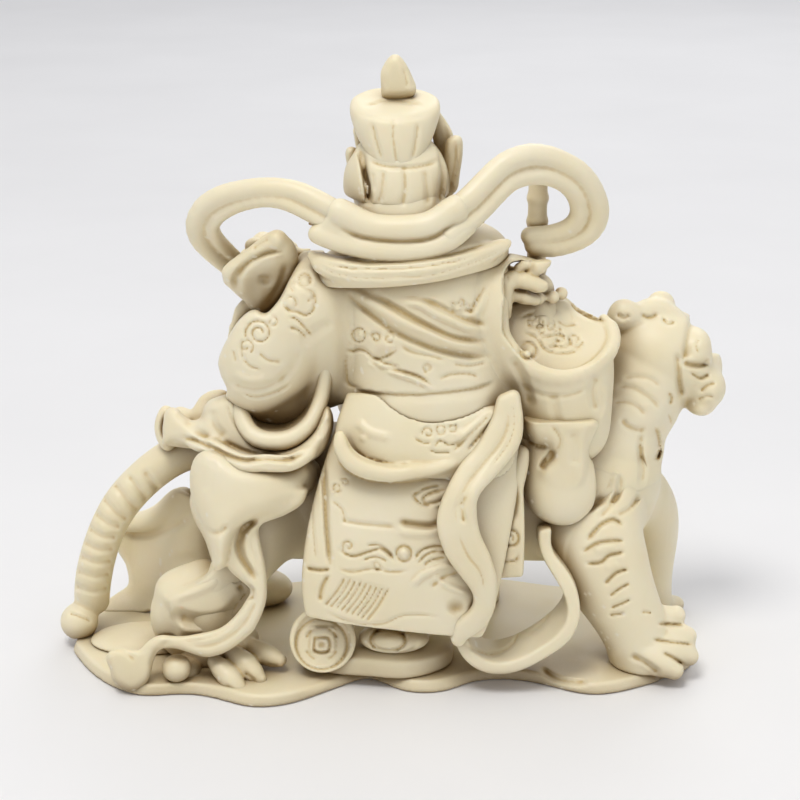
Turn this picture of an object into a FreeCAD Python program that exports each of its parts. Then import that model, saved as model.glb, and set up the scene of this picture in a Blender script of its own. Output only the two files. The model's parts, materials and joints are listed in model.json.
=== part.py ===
import FreeCAD, Part
import math
import os

# A carved and pegged ornament: a robed official sits sideways on the back of a tiger, which
# stands on a thin scalloped plinth. Millimetres, +Z up. The carving's back faces -Y, the
# tiger's head is towards +X, and the origin is on the underside, below the figure's neck.
#
# Every form has a length (X), a depth (Y) and a height (Z) for the path of its middle line,
# and a girth, the half width of its sections. Tables of shares say where along those sizes
# the path runs and how wide it is there: (x, y, z, half width, half thickness).

V = FreeCAD.Vector
X_AXIS, Y_AXIS, Z_AXIS = V(1, 0, 0), V(0, 1, 0), V(0, 0, 1)

# Joints between the carved pieces
dowel_radius = 1.1
dowel_length = 9.0
pin_radius = 0.6
pin_length = 4.5
foot_pin_bite = 1.4        # how deep a foot's pin goes into the plinth
seat_sink = 0.8            # how far a raw form reaches into what carries it before it is cut
long_dowel_length = 18.0
oval_points = 8

# Plinth and rocks
plinth_length = 114.5
plinth_depth = 51.0
plinth_thickness = 2.2
plinth_left_reach = 60.0
plinth_near_reach = 25.0
plinth_top_inset = 1.0
plinth_outline_shares = (
    (0.000, 0.40), (0.040, 0.24), (0.075, 0.15), (0.130, 0.08), (0.185, 0.09), (0.240, 0.06),
    (0.295, 0.00), (0.355, 0.02), (0.400, 0.09), (0.440, 0.16), (0.470, 0.20), (0.525, 0.12),
    (0.600, 0.12), (0.640, 0.18), (0.680, 0.20), (0.740, 0.17), (0.815, 0.09), (0.910, 0.16),
    (0.985, 0.30), (1.000, 0.48), (0.995, 0.66), (0.960, 0.82), (0.890, 0.89), (0.795, 0.92),
    (0.715, 0.98), (0.610, 1.00), (0.505, 0.98), (0.400, 0.99), (0.305, 0.94), (0.200, 0.92),
    (0.115, 0.94), (0.055, 0.88), (0.020, 0.74), (0.005, 0.57))
front_rock_length = 27.0
front_rock_depth = 18.0
front_rock_height = 4.6
front_rock_spot_shares = (0.49, 0.30)
far_rock_length = 30.0
far_rock_depth = 17.0
far_rock_height = 4.0
far_rock_spot_shares = (0.56, 0.80)
rock_outline_shares = (
    (1.00, 0.10), (0.72, 0.80), (0.25, 0.92), (-0.30, 1.00), (-0.80, 0.62), (-1.00, -0.05),
    (-0.70, -0.72), (-0.15, -0.90), (0.35, -1.00), (0.85, -0.60))
rock_top_share = 0.72

# Small treasures that lie on the plinth
coin_radius = 5.9
coin_thickness = 2.0
coin_lean_degrees = 20.0
coin_square_side = 4.2
coin_relief = 0.5
coin_rim = 1.0
coin_rise = 1.4
coin_seat_shares = (0.405, 0.12)
ingot_length = 12.6
ingot_depth = 7.4
ingot_height = 5.2
ingot_dome_height = 3.0
ingot_spot_shares = (0.515, 0.20)
pearl_radius = 2.6
pearl_spot_shares = (0.180, 0.130)

# Tiger
tiger_rump_reach = 37.0
tiger_near_reach = 10.0
belly_clearance = 13.8
tiger_length = 84.0
tiger_depth = 24.0
tiger_height = 28.0
tiger_girth = 13.0
tiger_stations_shares = (
    (0.00, 0.50, 0.48, 0.26, 0.28), (0.03, 0.50, 0.48, 0.54, 0.58), (0.10, 0.50, 0.49, 0.82, 0.86),
    (0.25, 0.50, 0.50, 0.92, 0.98), (0.45, 0.50, 0.47, 0.88, 0.96), (0.65, 0.50, 0.50, 0.90, 1.00),
    (0.82, 0.50, 0.55, 0.95, 1.08), (0.93, 0.50, 0.60, 0.76, 0.90), (0.98, 0.50, 0.62, 0.46, 0.54),
    (1.00, 0.50, 0.62, 0.24, 0.30))

near_foreleg_length = 11.0
near_foreleg_depth = 5.0
near_foreleg_girth = 8.2
near_foreleg_seat_shares = (0.84, 0.16, 0.50)
near_foreleg_stations_shares = (
    (0.00, 1.00, 1.00, 0.86, 0.80), (0.12, 0.60, 0.80, 1.02, 0.90), (0.40, 0.25, 0.52, 0.90, 0.84),
    (0.70, 0.05, 0.30, 0.76, 0.74), (0.88, 0.00, 0.12, 0.74, 0.74), (0.92, 0.00, 0.00, 0.74, 0.78))
near_forepaw_length = 15.4
near_forepaw_depth = 13.2
near_forepaw_height = 9.0
near_forepaw_ahead = 1.6

far_foreleg_length = 9.0
far_foreleg_depth = 5.5
far_foreleg_girth = 6.4
far_foreleg_seat_shares = (0.90, 0.72, 0.50)
far_foreleg_stations_shares = (
    (0.00, 0.00, 1.00, 1.00, 0.90), (0.60, 0.45, 0.84, 1.02, 0.95), (0.95, 0.85, 0.62, 0.86, 0.82),
    (1.00, 1.00, 0.35, 0.72, 0.72), (0.98, 1.00, 0.12, 0.72, 0.72), (0.98, 1.00, 0.00, 0.76, 0.76))
far_forepaw_length = 11.6
far_forepaw_depth = 10.6
far_forepaw_height = 7.6
far_forepaw_ahead = 0.2

near_hind_leg_length = 6.4
near_hind_leg_depth = 8.0
near_hind_leg_girth = 9.0
near_hind_leg_seat_shares = (0.12, 0.24, 0.54)
near_hind_leg_stations_shares = (
    (1.00, 1.00, 1.00, 1.00, 0.90), (0.60, 0.68, 0.80, 1.16, 0.92), (0.12, 0.40, 0.52, 0.82, 0.70),
    (0.00, 0.15, 0.28, 0.58, 0.54), (0.05, 0.00, 0.10, 0.52, 0.52), (0.10, 0.00, 0.00, 0.54, 0.56))
near_hind_paw_length = 16.0
near_hind_paw_depth = 10.4
near_hind_paw_height = 7.6
near_hind_paw_ahead = 5.6
near_hind_paw_turn_degrees = -42.0

far_hind_leg_length = 6.4
far_hind_leg_depth = 6.0
far_hind_leg_girth = 8.4
far_hind_leg_seat_shares = (0.12, 0.76, 0.54)
far_hind_leg_stations_shares = (
    (1.00, 0.00, 1.00, 1.00, 0.90), (0.60, 0.45, 0.80, 1.16, 0.90), (0.12, 0.80, 0.52, 0.82, 0.70),
    (0.00, 1.00, 0.28, 0.58, 0.54), (0.05, 1.00, 0.10, 0.54, 0.54), (0.10, 1.00, 0.00, 0.56, 0.58))
far_hind_paw_length = 15.0
far_hind_paw_depth = 10.4
far_hind_paw_height = 7.6
far_hind_paw_ahead = 4.6
paw_sole_share = 0.36      # a paw's middle stands this share of its height above the plinth

tail_length = 25.5
tail_depth = 4.0
tail_girth = 3.3
tail_seat_shares = (0.055, 0.55, 0.73)
tail_tip_radius = 3.5
tail_stations_shares = (
    (1.00, 0.60, 0.97, 1.00, 1.00), (0.80, 0.60, 1.00, 1.08, 1.08), (0.54, 0.35, 0.90, 1.04, 1.04),
    (0.27, 0.10, 0.68, 1.02, 1.02), (0.10, 0.00, 0.38, 1.00, 1.00), (0.03, 0.30, 0.12, 1.00, 1.00),
    (0.02, 0.50, 0.03, 0.96, 0.96))
tail_tip_shares = (-0.06, -0.20, -0.03)

neck_length = 12.0
neck_depth = 4.0
neck_height = 18.0
neck_girth = 9.6
neck_seat_shares = (0.845, 0.52, 0.74)
neck_stations_shares = (
    (0.00, 0.00, 0.00, 1.10, 0.90), (0.35, 0.30, 0.35, 1.05, 0.92), (0.72, 0.65, 0.70, 0.98, 0.92),
    (1.00, 1.00, 1.00, 0.86, 0.86))
skull_length = 19.0
skull_depth = 18.0
skull_height = 17.0
muzzle_length = 11.6
muzzle_depth = 12.0
muzzle_height = 12.4
muzzle_shares = (0.86, 0.66, 0.28)
ear_width = 5.4
ear_depth = 3.4
ear_height = 5.6
near_ear_shares = (0.16, 0.34, 0.98)
far_ear_shares = (0.54, 0.60, 0.99)

# Figure: body, head and hat
torso_length = 6.0
torso_depth = 2.0
torso_height = 41.0
torso_girth = 15.0
torso_seat_shares = (0.505, 0.33, 0.86)
torso_stations_shares = (
    (1.00, 1.00, 0.00, 0.85, 0.62), (1.00, 0.80, 0.22, 0.93, 0.72), (1.00, 0.55, 0.29, 1.08, 0.90),
    (0.95, 0.40, 0.38, 1.03, 0.84), (0.70, 0.20, 0.62, 1.00, 0.78), (0.35, 0.10, 0.82, 0.94, 0.66),
    (0.10, 0.00, 0.93, 0.66, 0.50), (0.00, 0.00, 1.00, 0.34, 0.34))
cape_length = 1.5
cape_depth = 0.8
cape_height = 9.4
cape_girth = 18.0
cape_seat_shares = (0.30, 0.05, 0.80)
cape_stations_shares = (
    (1.00, 0.00, 0.00, 0.96, 0.64), (0.80, 0.20, 0.28, 0.96, 0.65), (0.40, 0.50, 0.62, 0.72, 0.52),
    (0.00, 1.00, 0.88, 0.42, 0.36), (0.00, 1.00, 1.00, 0.29, 0.27))
neck_radius = 4.3
head_width = 15.6
head_depth = 16.6
head_height = 16.4
head_rise = 6.6
head_forward = 1.8
beard_length = 0.5
beard_depth = 4.5
beard_height = 13.0
beard_girth = 5.0
beard_stations_shares = (
    (0.5, 0.00, 1.00, 0.95, 0.62), (0.5, 0.65, 0.70, 0.98, 0.56), (0.5, 0.95, 0.38, 0.78, 0.46),
    (0.5, 1.00, 0.10, 0.42, 0.34), (0.5, 1.00, 0.00, 0, 0))
cap_wall = 1.3
cap_brim_drop_share = 0.10
crown_length = 0.6
crown_depth = 1.2
crown_height = 12.2
crown_girth = 7.9
crown_stations_shares = (
    (1.0, 0.00, 0.00, 0.62, 0.66), (0.6, 0.00, 0.30, 0.80, 0.74), (0.2, 0.40, 0.65, 0.88, 0.72),
    (0.0, 0.80, 0.92, 0.98, 0.80), (0.0, 1.00, 1.00, 0.92, 0.74))
crown_sink_share = 0.12
finial_width = 5.8
finial_depth = 3.6
finial_height = 7.4
finial_neck_share = 0.42
hat_flap_width = 4.0
hat_flap_thickness = 1.6
hat_flap_length = 12.5
hat_flap_splay_share = 0.10
hat_flap_turn_degrees = 35.0

# Figure: sleeves, cuffs and hands
left_sleeve_length = 14.5
left_sleeve_depth = 2.4
left_sleeve_height = 23.0
left_sleeve_girth = 9.5
left_sleeve_seat_shares = (-1.55, 0.05, 0.76)
left_sleeve_stations_shares = (
    (1.00, 0.70, 1.00, 0.62, 0.66), (0.60, 0.50, 0.86, 0.92, 0.88), (0.18, 0.40, 0.58, 1.02, 0.96),
    (0.02, 0.30, 0.28, 0.94, 0.86), (0.06, 0.00, 0.08, 0.60, 0.56), (0.10, 0.00, 0.00, 0, 0))
left_drape_length = 17.0
left_drape_depth = 13.5
left_drape_height = 16.5
left_drape_wall = 2.4
left_drape_shares = (0.18, -0.30, 0.05)
left_cuff_length = 6.4
left_cuff_depth = 7.0
left_cuff_height = 11.0
left_cuff_girth = 8.8
left_cuff_wall = 1.5
left_cuff_seat_shares = (0.46, 1.30, 0.52)
left_cuff_stations_shares = (
    (1.00, 0.00, 0.00, 0.56, 0.56), (0.70, 0.30, 0.34, 0.66, 0.64), (0.30, 0.70, 0.72, 0.90, 0.78),
    (0.00, 1.00, 1.00, 1.06, 0.86))
left_hand_width = 6.4
left_hand_depth = 7.6
left_hand_height = 6.0

right_sleeve_length = 19.5
right_sleeve_depth = 3.0
right_sleeve_height = 33.0
right_sleeve_girth = 10.0
right_sleeve_wall = 1.6
right_sleeve_seat_shares = (1.72, 0.05, 0.79)
right_sleeve_stations_shares = (
    (0.00, 1.00, 1.00, 0.62, 0.66), (0.34, 0.90, 0.86, 0.92, 0.86), (0.74, 0.75, 0.66, 1.10, 0.96),
    (0.92, 0.55, 0.46, 0.98, 0.86), (0.96, 0.30, 0.24, 0.86, 0.74), (1.00, 0.00, 0.06, 0.66, 0.54),
    (1.00, 0.00, 0.00, 0.40, 0.34))
right_pocket_length = 18.6
right_pocket_depth = 17.0
right_pocket_height = 19.0
right_pocket_shares = (0.80, 0.60, 0.76)
right_drape_length = 2.2
right_drape_depth = 5.0
right_drape_height = 17.0
right_drape_girth = 6.4
right_drape_seat_shares = (0.86, 0.00, 0.20)
right_drape_stations_shares = (
    (0.00, 1.00, 1.00, 0.90, 0.72), (0.20, 0.60, 0.68, 0.98, 0.70), (0.70, 0.20, 0.34, 0.98, 0.62),
    (1.00, 0.00, 0.10, 0.68, 0.42), (1.00, 0.00, 0.00, 0, 0))
right_hand_width = 6.4
right_hand_depth = 6.6
right_hand_height = 7.0
right_wrist_radius = 3.2
right_wrist_length = 13.0
right_wrist_lean_shares = (-0.12, 0.40, 1.0)
baton_radius = 1.7
baton_length = 29.0
baton_ring_share = 1.18
baton_ring_count = 6
bead_radius = 1.25
bead_count = 5

# Figure: robe below the waist
skirt_length = 6.0
skirt_depth = 9.0
skirt_height = 38.0
skirt_girth = 16.8
skirt_seat_shares = (0.90, -3.0, 0.26)
skirt_stations_shares = (
    (1.00, 1.00, 1.00, 0.84, 0.26), (0.85, 0.62, 0.75, 0.98, 0.27), (0.50, 0.36, 0.50, 1.02, 0.25),
    (0.20, 0.16, 0.25, 1.02, 0.22), (0.00, 0.00, 0.00, 0.92, 0.15))
tier_length = 2.6
tier_depth = 4.6
tier_height = 15.0
tier_girth = 15.6
tier_seat_shares = (0.95, -3.4, 0.285)
tier_stations_shares = (
    (1.00, 1.00, 1.00, 0.92, 0.30), (0.80, 0.55, 0.66, 1.00, 0.30), (0.40, 0.20, 0.30, 0.98, 0.28),
    (0.00, 0.00, 0.00, 0.80, 0.18))
lap_length = 2.0
lap_depth = 17.0
lap_height = 4.0
lap_girth = 17.0
lap_seat_shares = (1.00, 1.50, 0.10)
lap_stations_shares = (
    (0.50, 0.00, 1.00, 0.80, 0.36), (0.50, 0.35, 0.95, 0.94, 0.40), (0.50, 0.72, 0.80, 1.00, 0.38),
    (0.50, 0.93, 0.50, 0.96, 0.28), (0.50, 1.00, 0.40, 0.84, 0.14))
front_fall_length = 2.0
front_fall_depth = 4.0
front_fall_height = 28.0
front_fall_girth = 16.0
front_fall_stations_shares = (
    (0.50, 0.00, 1.00, 0.96, 0.22), (0.50, 0.55, 0.72, 1.00, 0.20), (0.50, 0.85, 0.38, 1.00, 0.18),
    (0.50, 1.00, 0.00, 1.06, 0.16))
boot_length = 8.4
boot_depth = 14.0
boot_height = 8.0
boot_spread = 17.0
boot_forward = 2.6
side_panel_length = 1.4
side_panel_depth = 6.0
side_panel_height = 30.5
side_panel_width = 3.8
side_panel_thickness = 2.2
side_panel_seat_shares = (2.95, -3.2, 0.28)
side_panel_stations_shares = (
    (0.00, 1.00, 1.00, 0.60), (0.10, 0.60, 0.70, 0.92), (0.40, 0.25, 0.40, 1.00),
    (1.00, 0.00, 0.00, 0.78))
streamer_length = 11.8
streamer_depth = 11.7
streamer_height = 41.0
streamer_width = 2.8
streamer_thickness = 2.4
streamer_seat_shares = (3.50, -2.70, 0.295)
streamer_stations_shares = (
    (0.89, 1.00, 1.00, 0.80), (1.00, 0.87, 0.86, 0.92), (0.78, 0.62, 0.77, 1.00),
    (0.43, 0.25, 0.68, 1.00), (0.08, 0.05, 0.58, 1.00), (0.00, 0.00, 0.49, 1.00),
    (0.18, 0.00, 0.36, 0.98), (0.43, 0.03, 0.23, 0.96), (0.58, 0.02, 0.11, 0.92),
    (0.41, 0.00, 0.00, 0.84))
hem_curl_length = 19.6
hem_curl_depth = 4.5
hem_curl_height = 25.5
hem_curl_width = 5.4
hem_curl_thickness = 2.4
hem_curl_spot_shares = (4.33, -3.60)
hem_curl_stations_shares = (
    (0.76, 1.00, 1.00, 0.70), (0.84, 0.80, 0.76, 0.84), (1.00, 0.45, 0.54, 0.94),
    (0.97, 0.30, 0.36, 1.00), (0.76, 0.16, 0.20, 1.00), (0.52, 0.06, 0.10, 0.96),
    (0.26, 0.00, 0.08, 0.90), (0.05, 0.02, 0.20, 0.80), (0.00, 0.05, 0.36, 0.66))

# Robe train that falls over the tiger's haunch
train_cover_length = 34.0
train_cover_depth = 3.0
train_cover_height = 4.0
train_cover_girth = 12.5
train_cover_seat_shares = (0.36, 0.42, 0.99)
train_cover_stations_shares = (
    (1.00, 0.00, 1.00, 1.00, 0.36), (0.66, 0.20, 0.80, 1.04, 0.36), (0.34, 0.60, 0.62, 0.90, 0.32),
    (0.10, 1.00, 0.50, 0.66, 0.24), (0.00, 1.00, 0.30, 0.36, 0.14))
train_fall_length = 31.5
train_fall_depth = 3.0
train_fall_height = 35.0
train_fall_width = 5.6
train_fall_thickness = 2.4
train_fall_spot_shares = (0.25, -0.22)
train_fall_stations_shares = (
    (1.00, 0.60, 1.00, 0.74), (0.90, 0.60, 0.90, 0.84), (0.75, 0.60, 0.82, 0.92),
    (0.59, 0.60, 0.77, 0.96), (0.50, 0.55, 0.69, 1.00), (0.54, 0.45, 0.60, 1.00),
    (0.66, 0.30, 0.51, 1.00), (0.75, 0.15, 0.40, 1.00), (0.71, 0.05, 0.27, 1.00),
    (0.56, 0.00, 0.15, 1.00), (0.41, 0.05, 0.125, 1.00), (0.27, 0.10, 0.155, 1.00),
    (0.15, 0.15, 0.11, 0.96), (0.05, 0.20, 0.03, 0.86))
train_fold_length = 17.0
train_fold_depth = 14.0
train_fold_height = 18.0
train_fold_spot_shares = (0.205, 0.335)
train_fold_rise_share = 0.42
train_sweep_length = 21.0
train_sweep_depth = 13.6
train_sweep_height = 2.2
train_sweep_spot_shares = (0.115, 0.43)
far_train_length = 22.0
far_train_depth = 7.0
far_train_height = 11.0
far_train_width = 11.5
far_train_thickness = 2.6
far_train_spot_shares = (0.055, 0.96)
far_train_stations_shares = (
    (1.00, 0.00, 0.30, 1.08), (0.70, 0.45, 0.20, 1.00), (0.38, 0.95, 0.10, 0.90),
    (0.10, 1.00, 0.02, 0.76), (0.00, 0.80, 0.00, 0.62))

# Shawl ribbon that floats behind the shoulders
band_length = 25.0
band_depth = 2.6
band_height = 1.4
band_width = 2.9
band_thickness = 3.4
band_rise = 2.2
band_stations_shares = (
    (0.00, 1.00, 0.85, 0.96), (0.24, 0.30, 0.15, 1.00), (0.50, 0.00, 0.00, 1.00),
    (0.76, 0.30, 0.20, 1.00), (1.00, 1.00, 1.00, 0.96))
loop_thickness = 2.8
loop_rise = 2.6
left_loop_length = 23.2
left_loop_depth = 14.3
left_loop_height = 15.2
left_loop_width = 2.8
left_loop_stations_shares = (
    (1.00, 0.00, 0.76, 1.07), (0.84, 0.09, 0.88, 1.01), (0.67, 0.19, 0.98, 0.96),
    (0.49, 0.30, 1.00, 0.90), (0.31, 0.40, 0.95, 0.94), (0.15, 0.48, 0.85, 1.04),
    (0.02, 0.57, 0.66, 1.05), (0.00, 0.71, 0.42, 1.09), (0.08, 0.86, 0.20, 1.01),
    (0.19, 1.00, 0.00, 0.89))
right_loop_length = 23.8
right_loop_depth = 11.3
right_loop_height = 14.0
right_loop_width = 4.0
right_loop_stations_shares = (
    (0.00, 0.00, 0.42, 0.94), (0.13, 0.13, 0.57, 1.04), (0.25, 0.28, 0.75, 1.11),
    (0.38, 0.42, 0.91, 1.14), (0.53, 0.55, 1.00, 1.08), (0.69, 0.66, 0.97, 1.00),
    (0.84, 0.74, 0.86, 0.95), (0.95, 0.82, 0.65, 0.91), (1.00, 0.91, 0.39, 0.89),
    (0.93, 0.97, 0.13, 0.83), (0.78, 1.00, 0.02, 0.76), (0.61, 0.99, 0.00, 0.68))


def spot(corner, size, shares):
    """The point at shares of a box."""
    return V(corner.x + size.x * shares[0], corner.y + size.y * shares[1],
             corner.z + size.z * shares[2])


def path_of(seat, size, stations):
    """The stations' centres, with the first one on the seat."""
    corner = seat - spot(V(), size, stations[0])
    return [spot(corner, size, station) for station in stations]


def section_axes(centres, index, wide_axis, thick_axis):
    """Unit vectors along a section's width and its thickness, square to the path."""
    along = centres[min(index + 1, len(centres) - 1)] - centres[max(index - 1, 0)]
    along.normalize()
    if wide_axis is None:
        thick = thick_axis - along * along.dot(thick_axis)
        thick.normalize()
        return along.cross(thick), thick
    wide = wide_axis - along * along.dot(wide_axis)
    wide.normalize()
    return wide, wide.cross(along)


def oval(centre, wide, thick, half_width, half_thickness):
    """A closed smooth section, or a point where it has no width."""
    if half_width == 0:
        return Part.Vertex(centre)
    turns = [math.pi * 2 * step / oval_points for step in range(oval_points)]
    points = [centre + wide * (half_width * math.cos(turn)) + thick * (half_thickness * math.sin(turn))
              for turn in turns]
    curve = Part.BSplineCurve()
    curve.interpolate(Points=points, PeriodicFlag=True)
    return Part.Wire([curve.toShape()])


def slat(centre, wide, thick, half_width, half_thickness):
    """A four-sided section of a strap."""
    a, b = wide * half_width, thick * half_thickness
    corners = [centre - a - b, centre + a - b, centre + a + b, centre - a + b]
    return Part.makePolygon(corners + corners[:1])


def limb(seat, size, girth, stations, wide_axis=None, thick_axis=Y_AXIS):
    """A rounded form through oval sections along a path."""
    centres = path_of(seat, size, stations)
    sections = []
    for index, station in enumerate(stations):
        wide, thick = section_axes(centres, index, wide_axis, thick_axis)
        sections.append(oval(centres[index], wide, thick, girth * station[3], girth * station[4]))
    return Part.makeLoft(sections, True, False)


def strap(seat, size, half_width, thickness, stations, wide_axis=None, thick_axis=Y_AXIS):
    """A carved band of even thickness along a path."""
    centres = path_of(seat, size, stations)
    sections = []
    for index, station in enumerate(stations):
        wide, thick = section_axes(centres, index, wide_axis, thick_axis)
        sections.append(slat(centres[index], wide, thick, half_width * station[3], thickness / 2))
    return Part.makeLoft(sections, True, False)


def egg(centre, length, depth, height, turn_degrees=0):
    """An ellipsoid of full sizes, turned about the upright axis."""
    scale = FreeCAD.Matrix()
    scale.scale(length / 2, depth / 2, height / 2)
    shape = Part.makeSphere(1).transformGeometry(scale)
    shape.rotate(V(), Z_AXIS, turn_degrees)
    shape.translate(centre)
    return shape


def joined(first, *others):
    """Forms that are one piece of material."""
    for other in others:
        first = first.fuse(other)
    return largest(first)


def largest(shape):
    return max(shape.Solids, key=lambda solid: solid.Volume)


def seated(shape, *neighbours):
    """The form cut to fit the pieces that it sits on or beside."""
    for neighbour in neighbours:
        if shape.BoundBox.intersect(neighbour.BoundBox):
            shape = largest(shape.cut(neighbour))
    return shape


pieces = {}
dowels = {"tiger_dowels": [], "foot_pins": [], "figure_dowels": [], "ornament_pins": []}


def peg(group, foot, direction, radius, length):
    """A dowel that is glued into blind holes in the pieces that it joins."""
    dowels[group].append(Part.makeCylinder(radius, length, foot, direction))


def drill_for_dowels():
    """The blind holes, the same size as their dowels."""
    for shape in [dowel for group in dowels.values() for dowel in group]:
        for name, piece in pieces.items():
            if piece.BoundBox.intersect(shape.BoundBox) and piece.common(shape).Volume > 0:
                pieces[name] = largest(piece.cut(shape))


plinth_corner = V(-plinth_left_reach, -plinth_near_reach, 0)
plinth_size = V(plinth_length, plinth_depth, plinth_thickness)


def plinth_spot(shares, height=0):
    """A point above the plinth's top, at shares of its length and depth."""
    return spot(plinth_corner, plinth_size, (*shares, 1)) + Z_AXIS * height


def outline_wire(points):
    curve = Part.BSplineCurve()
    curve.interpolate(Points=points, PeriodicFlag=True)
    return Part.Wire([curve.toShape()])


def make_plinth():
    """A thin slab with a scalloped edge, a little smaller on top."""
    middle = spot(plinth_corner, plinth_size, (1 / 2, 1 / 2, 0))
    foot = [spot(plinth_corner, plinth_size, (*shares, 0)) for shares in plinth_outline_shares]
    top = [point + (middle - point).normalize() * plinth_top_inset + Z_AXIS * plinth_thickness
           for point in foot]
    pieces["base_plinth"] = Part.makeLoft([outline_wire(foot), outline_wire(top)], True, True)


def make_rock(name, centre, length, depth, height):
    """A low rock with a lumpy outline, flat underneath."""
    rings = []
    for level, share in ((0, 1), (height * rock_top_share, 1), (height, rock_top_share)):
        rings.append(outline_wire([centre + V(length / 2 * x * share, depth / 2 * y * share, level)
                                   for x, y in rock_outline_shares]))
    pieces[name] = Part.makeLoft(rings, True, True)


def make_rocks():
    make_rock("front_rock", plinth_spot(front_rock_spot_shares), front_rock_length,
              front_rock_depth, front_rock_height)
    make_rock("far_rock", plinth_spot(far_rock_spot_shares), far_rock_length, far_rock_depth,
              far_rock_height)


tiger_corner = V(-tiger_rump_reach, -tiger_near_reach, plinth_thickness + belly_clearance)
tiger_size = V(tiger_length, tiger_depth, tiger_height)


def make_tiger_body():
    stations = tiger_stations_shares
    seat = spot(tiger_corner, tiger_size, stations[0])
    pieces["tiger_body"] = limb(seat, tiger_size, tiger_girth, stations, thick_axis=Z_AXIS)


def make_leg(name, seat_shares, length, depth, girth, stations, paw, ahead, turn_degrees=0):
    """A leg from inside the body down to the plinth, with its paw."""
    seat = spot(tiger_corner, tiger_size, seat_shares)
    height = seat.z - plinth_thickness + seat_sink
    leg_size = V(length, depth, height)
    leg = limb(seat, leg_size, girth, stations)
    ankle = path_of(seat, leg_size, stations)[-1]
    step = V(ahead * math.cos(math.radians(turn_degrees)), ahead * math.sin(math.radians(turn_degrees)), 0)
    paw_centre = V(ankle.x, ankle.y, plinth_thickness + paw[2] * paw_sole_share) + step
    whole = joined(seated(leg, pieces["tiger_body"]), egg(paw_centre, *paw, turn_degrees))
    ground = Part.makeBox(plinth_length, plinth_length, plinth_length,
                          V(ankle.x - plinth_length / 2, ankle.y - plinth_length / 2,
                            plinth_thickness - plinth_length))
    pieces[name] = seated(whole, ground)
    second = path_of(seat, leg_size, stations)[1]
    peg("tiger_dowels", seat, second - seat, dowel_radius, dowel_length)
    peg("foot_pins", V(ankle.x, ankle.y, plinth_thickness - foot_pin_bite), Z_AXIS, dowel_radius, pin_length)


def make_legs():
    make_leg("near_foreleg", near_foreleg_seat_shares, near_foreleg_length, near_foreleg_depth,
             near_foreleg_girth, near_foreleg_stations_shares,
             (near_forepaw_length, near_forepaw_depth, near_forepaw_height), near_forepaw_ahead)
    make_leg("far_foreleg", far_foreleg_seat_shares, far_foreleg_length, far_foreleg_depth,
             far_foreleg_girth, far_foreleg_stations_shares,
             (far_forepaw_length, far_forepaw_depth, far_forepaw_height), far_forepaw_ahead)
    make_leg("near_hind_leg", near_hind_leg_seat_shares, near_hind_leg_length, near_hind_leg_depth,
             near_hind_leg_girth, near_hind_leg_stations_shares,
             (near_hind_paw_length, near_hind_paw_depth, near_hind_paw_height), near_hind_paw_ahead,
             near_hind_paw_turn_degrees)
    make_leg("far_hind_leg", far_hind_leg_seat_shares, far_hind_leg_length, far_hind_leg_depth,
             far_hind_leg_girth, far_hind_leg_stations_shares,
             (far_hind_paw_length, far_hind_paw_depth, far_hind_paw_height), far_hind_paw_ahead)


def make_tail():
    """A ringed tail in one arch, with a round tip that rests on the plinth."""
    seat = spot(tiger_corner, tiger_size, tail_seat_shares)
    height = seat.z - plinth_thickness - tail_girth + seat_sink
    size = V(tail_length, tail_depth, height)
    centres = path_of(seat, size, tail_stations_shares)
    tip = spot(centres[0] - spot(V(), size, tail_stations_shares[0]), size, tail_tip_shares)
    tail = joined(limb(seat, size, tail_girth, tail_stations_shares),
                  Part.makeSphere(tail_tip_radius, tip))
    pieces["tiger_tail"] = seated(tail, pieces["base_plinth"], pieces["tiger_body"],
                                  pieces["near_hind_leg"], pieces["far_hind_leg"])
    peg("tiger_dowels", seat + X_AXIS * (dowel_length / 2), centres[1] - seat, dowel_radius, dowel_length)


def make_tiger_head():
    seat = spot(tiger_corner, tiger_size, neck_seat_shares)
    size = V(neck_length, neck_depth, neck_height)
    top = path_of(seat, size, neck_stations_shares)[-1]
    skull_size = V(skull_length, skull_depth, skull_height)
    skull_corner = top - skull_size * (1 / 2)
    neck = limb(seat, size, neck_girth, neck_stations_shares)
    skull = egg(top, skull_length, skull_depth, skull_height)
    muzzle = egg(spot(skull_corner, skull_size, muzzle_shares), muzzle_length, muzzle_depth, muzzle_height)
    ears = [egg(spot(skull_corner, skull_size, shares), ear_width, ear_depth, ear_height)
            for shares in (near_ear_shares, far_ear_shares)]
    pieces["tiger_head"] = seated(joined(neck, skull, muzzle, *ears), pieces["tiger_body"])
    peg("tiger_dowels", seat, top - seat, dowel_radius, long_dowel_length)


torso_seat = spot(tiger_corner, tiger_size, torso_seat_shares)
torso_size = V(torso_length, torso_depth, torso_height)
torso_corner = torso_seat - spot(V(), torso_size, torso_stations_shares[0])
torso_top = path_of(torso_seat, torso_size, torso_stations_shares)[-1]


def torso_spot(shares):
    return spot(torso_corner, torso_size, shares)


def make_torso():
    torso = limb(torso_seat, torso_size, torso_girth, torso_stations_shares, wide_axis=X_AXIS)
    pieces["torso"] = seated(torso, pieces["tiger_body"])
    peg("figure_dowels", torso_seat - Z_AXIS * (dowel_length / 2), Z_AXIS, dowel_radius,
        long_dowel_length)
    cape_size = V(cape_length, cape_depth, cape_height)
    cape = limb(torso_spot(cape_seat_shares), cape_size, cape_girth, cape_stations_shares, wide_axis=X_AXIS)
    pieces["shoulder_cape"] = seated(cape, pieces["torso"])


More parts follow.
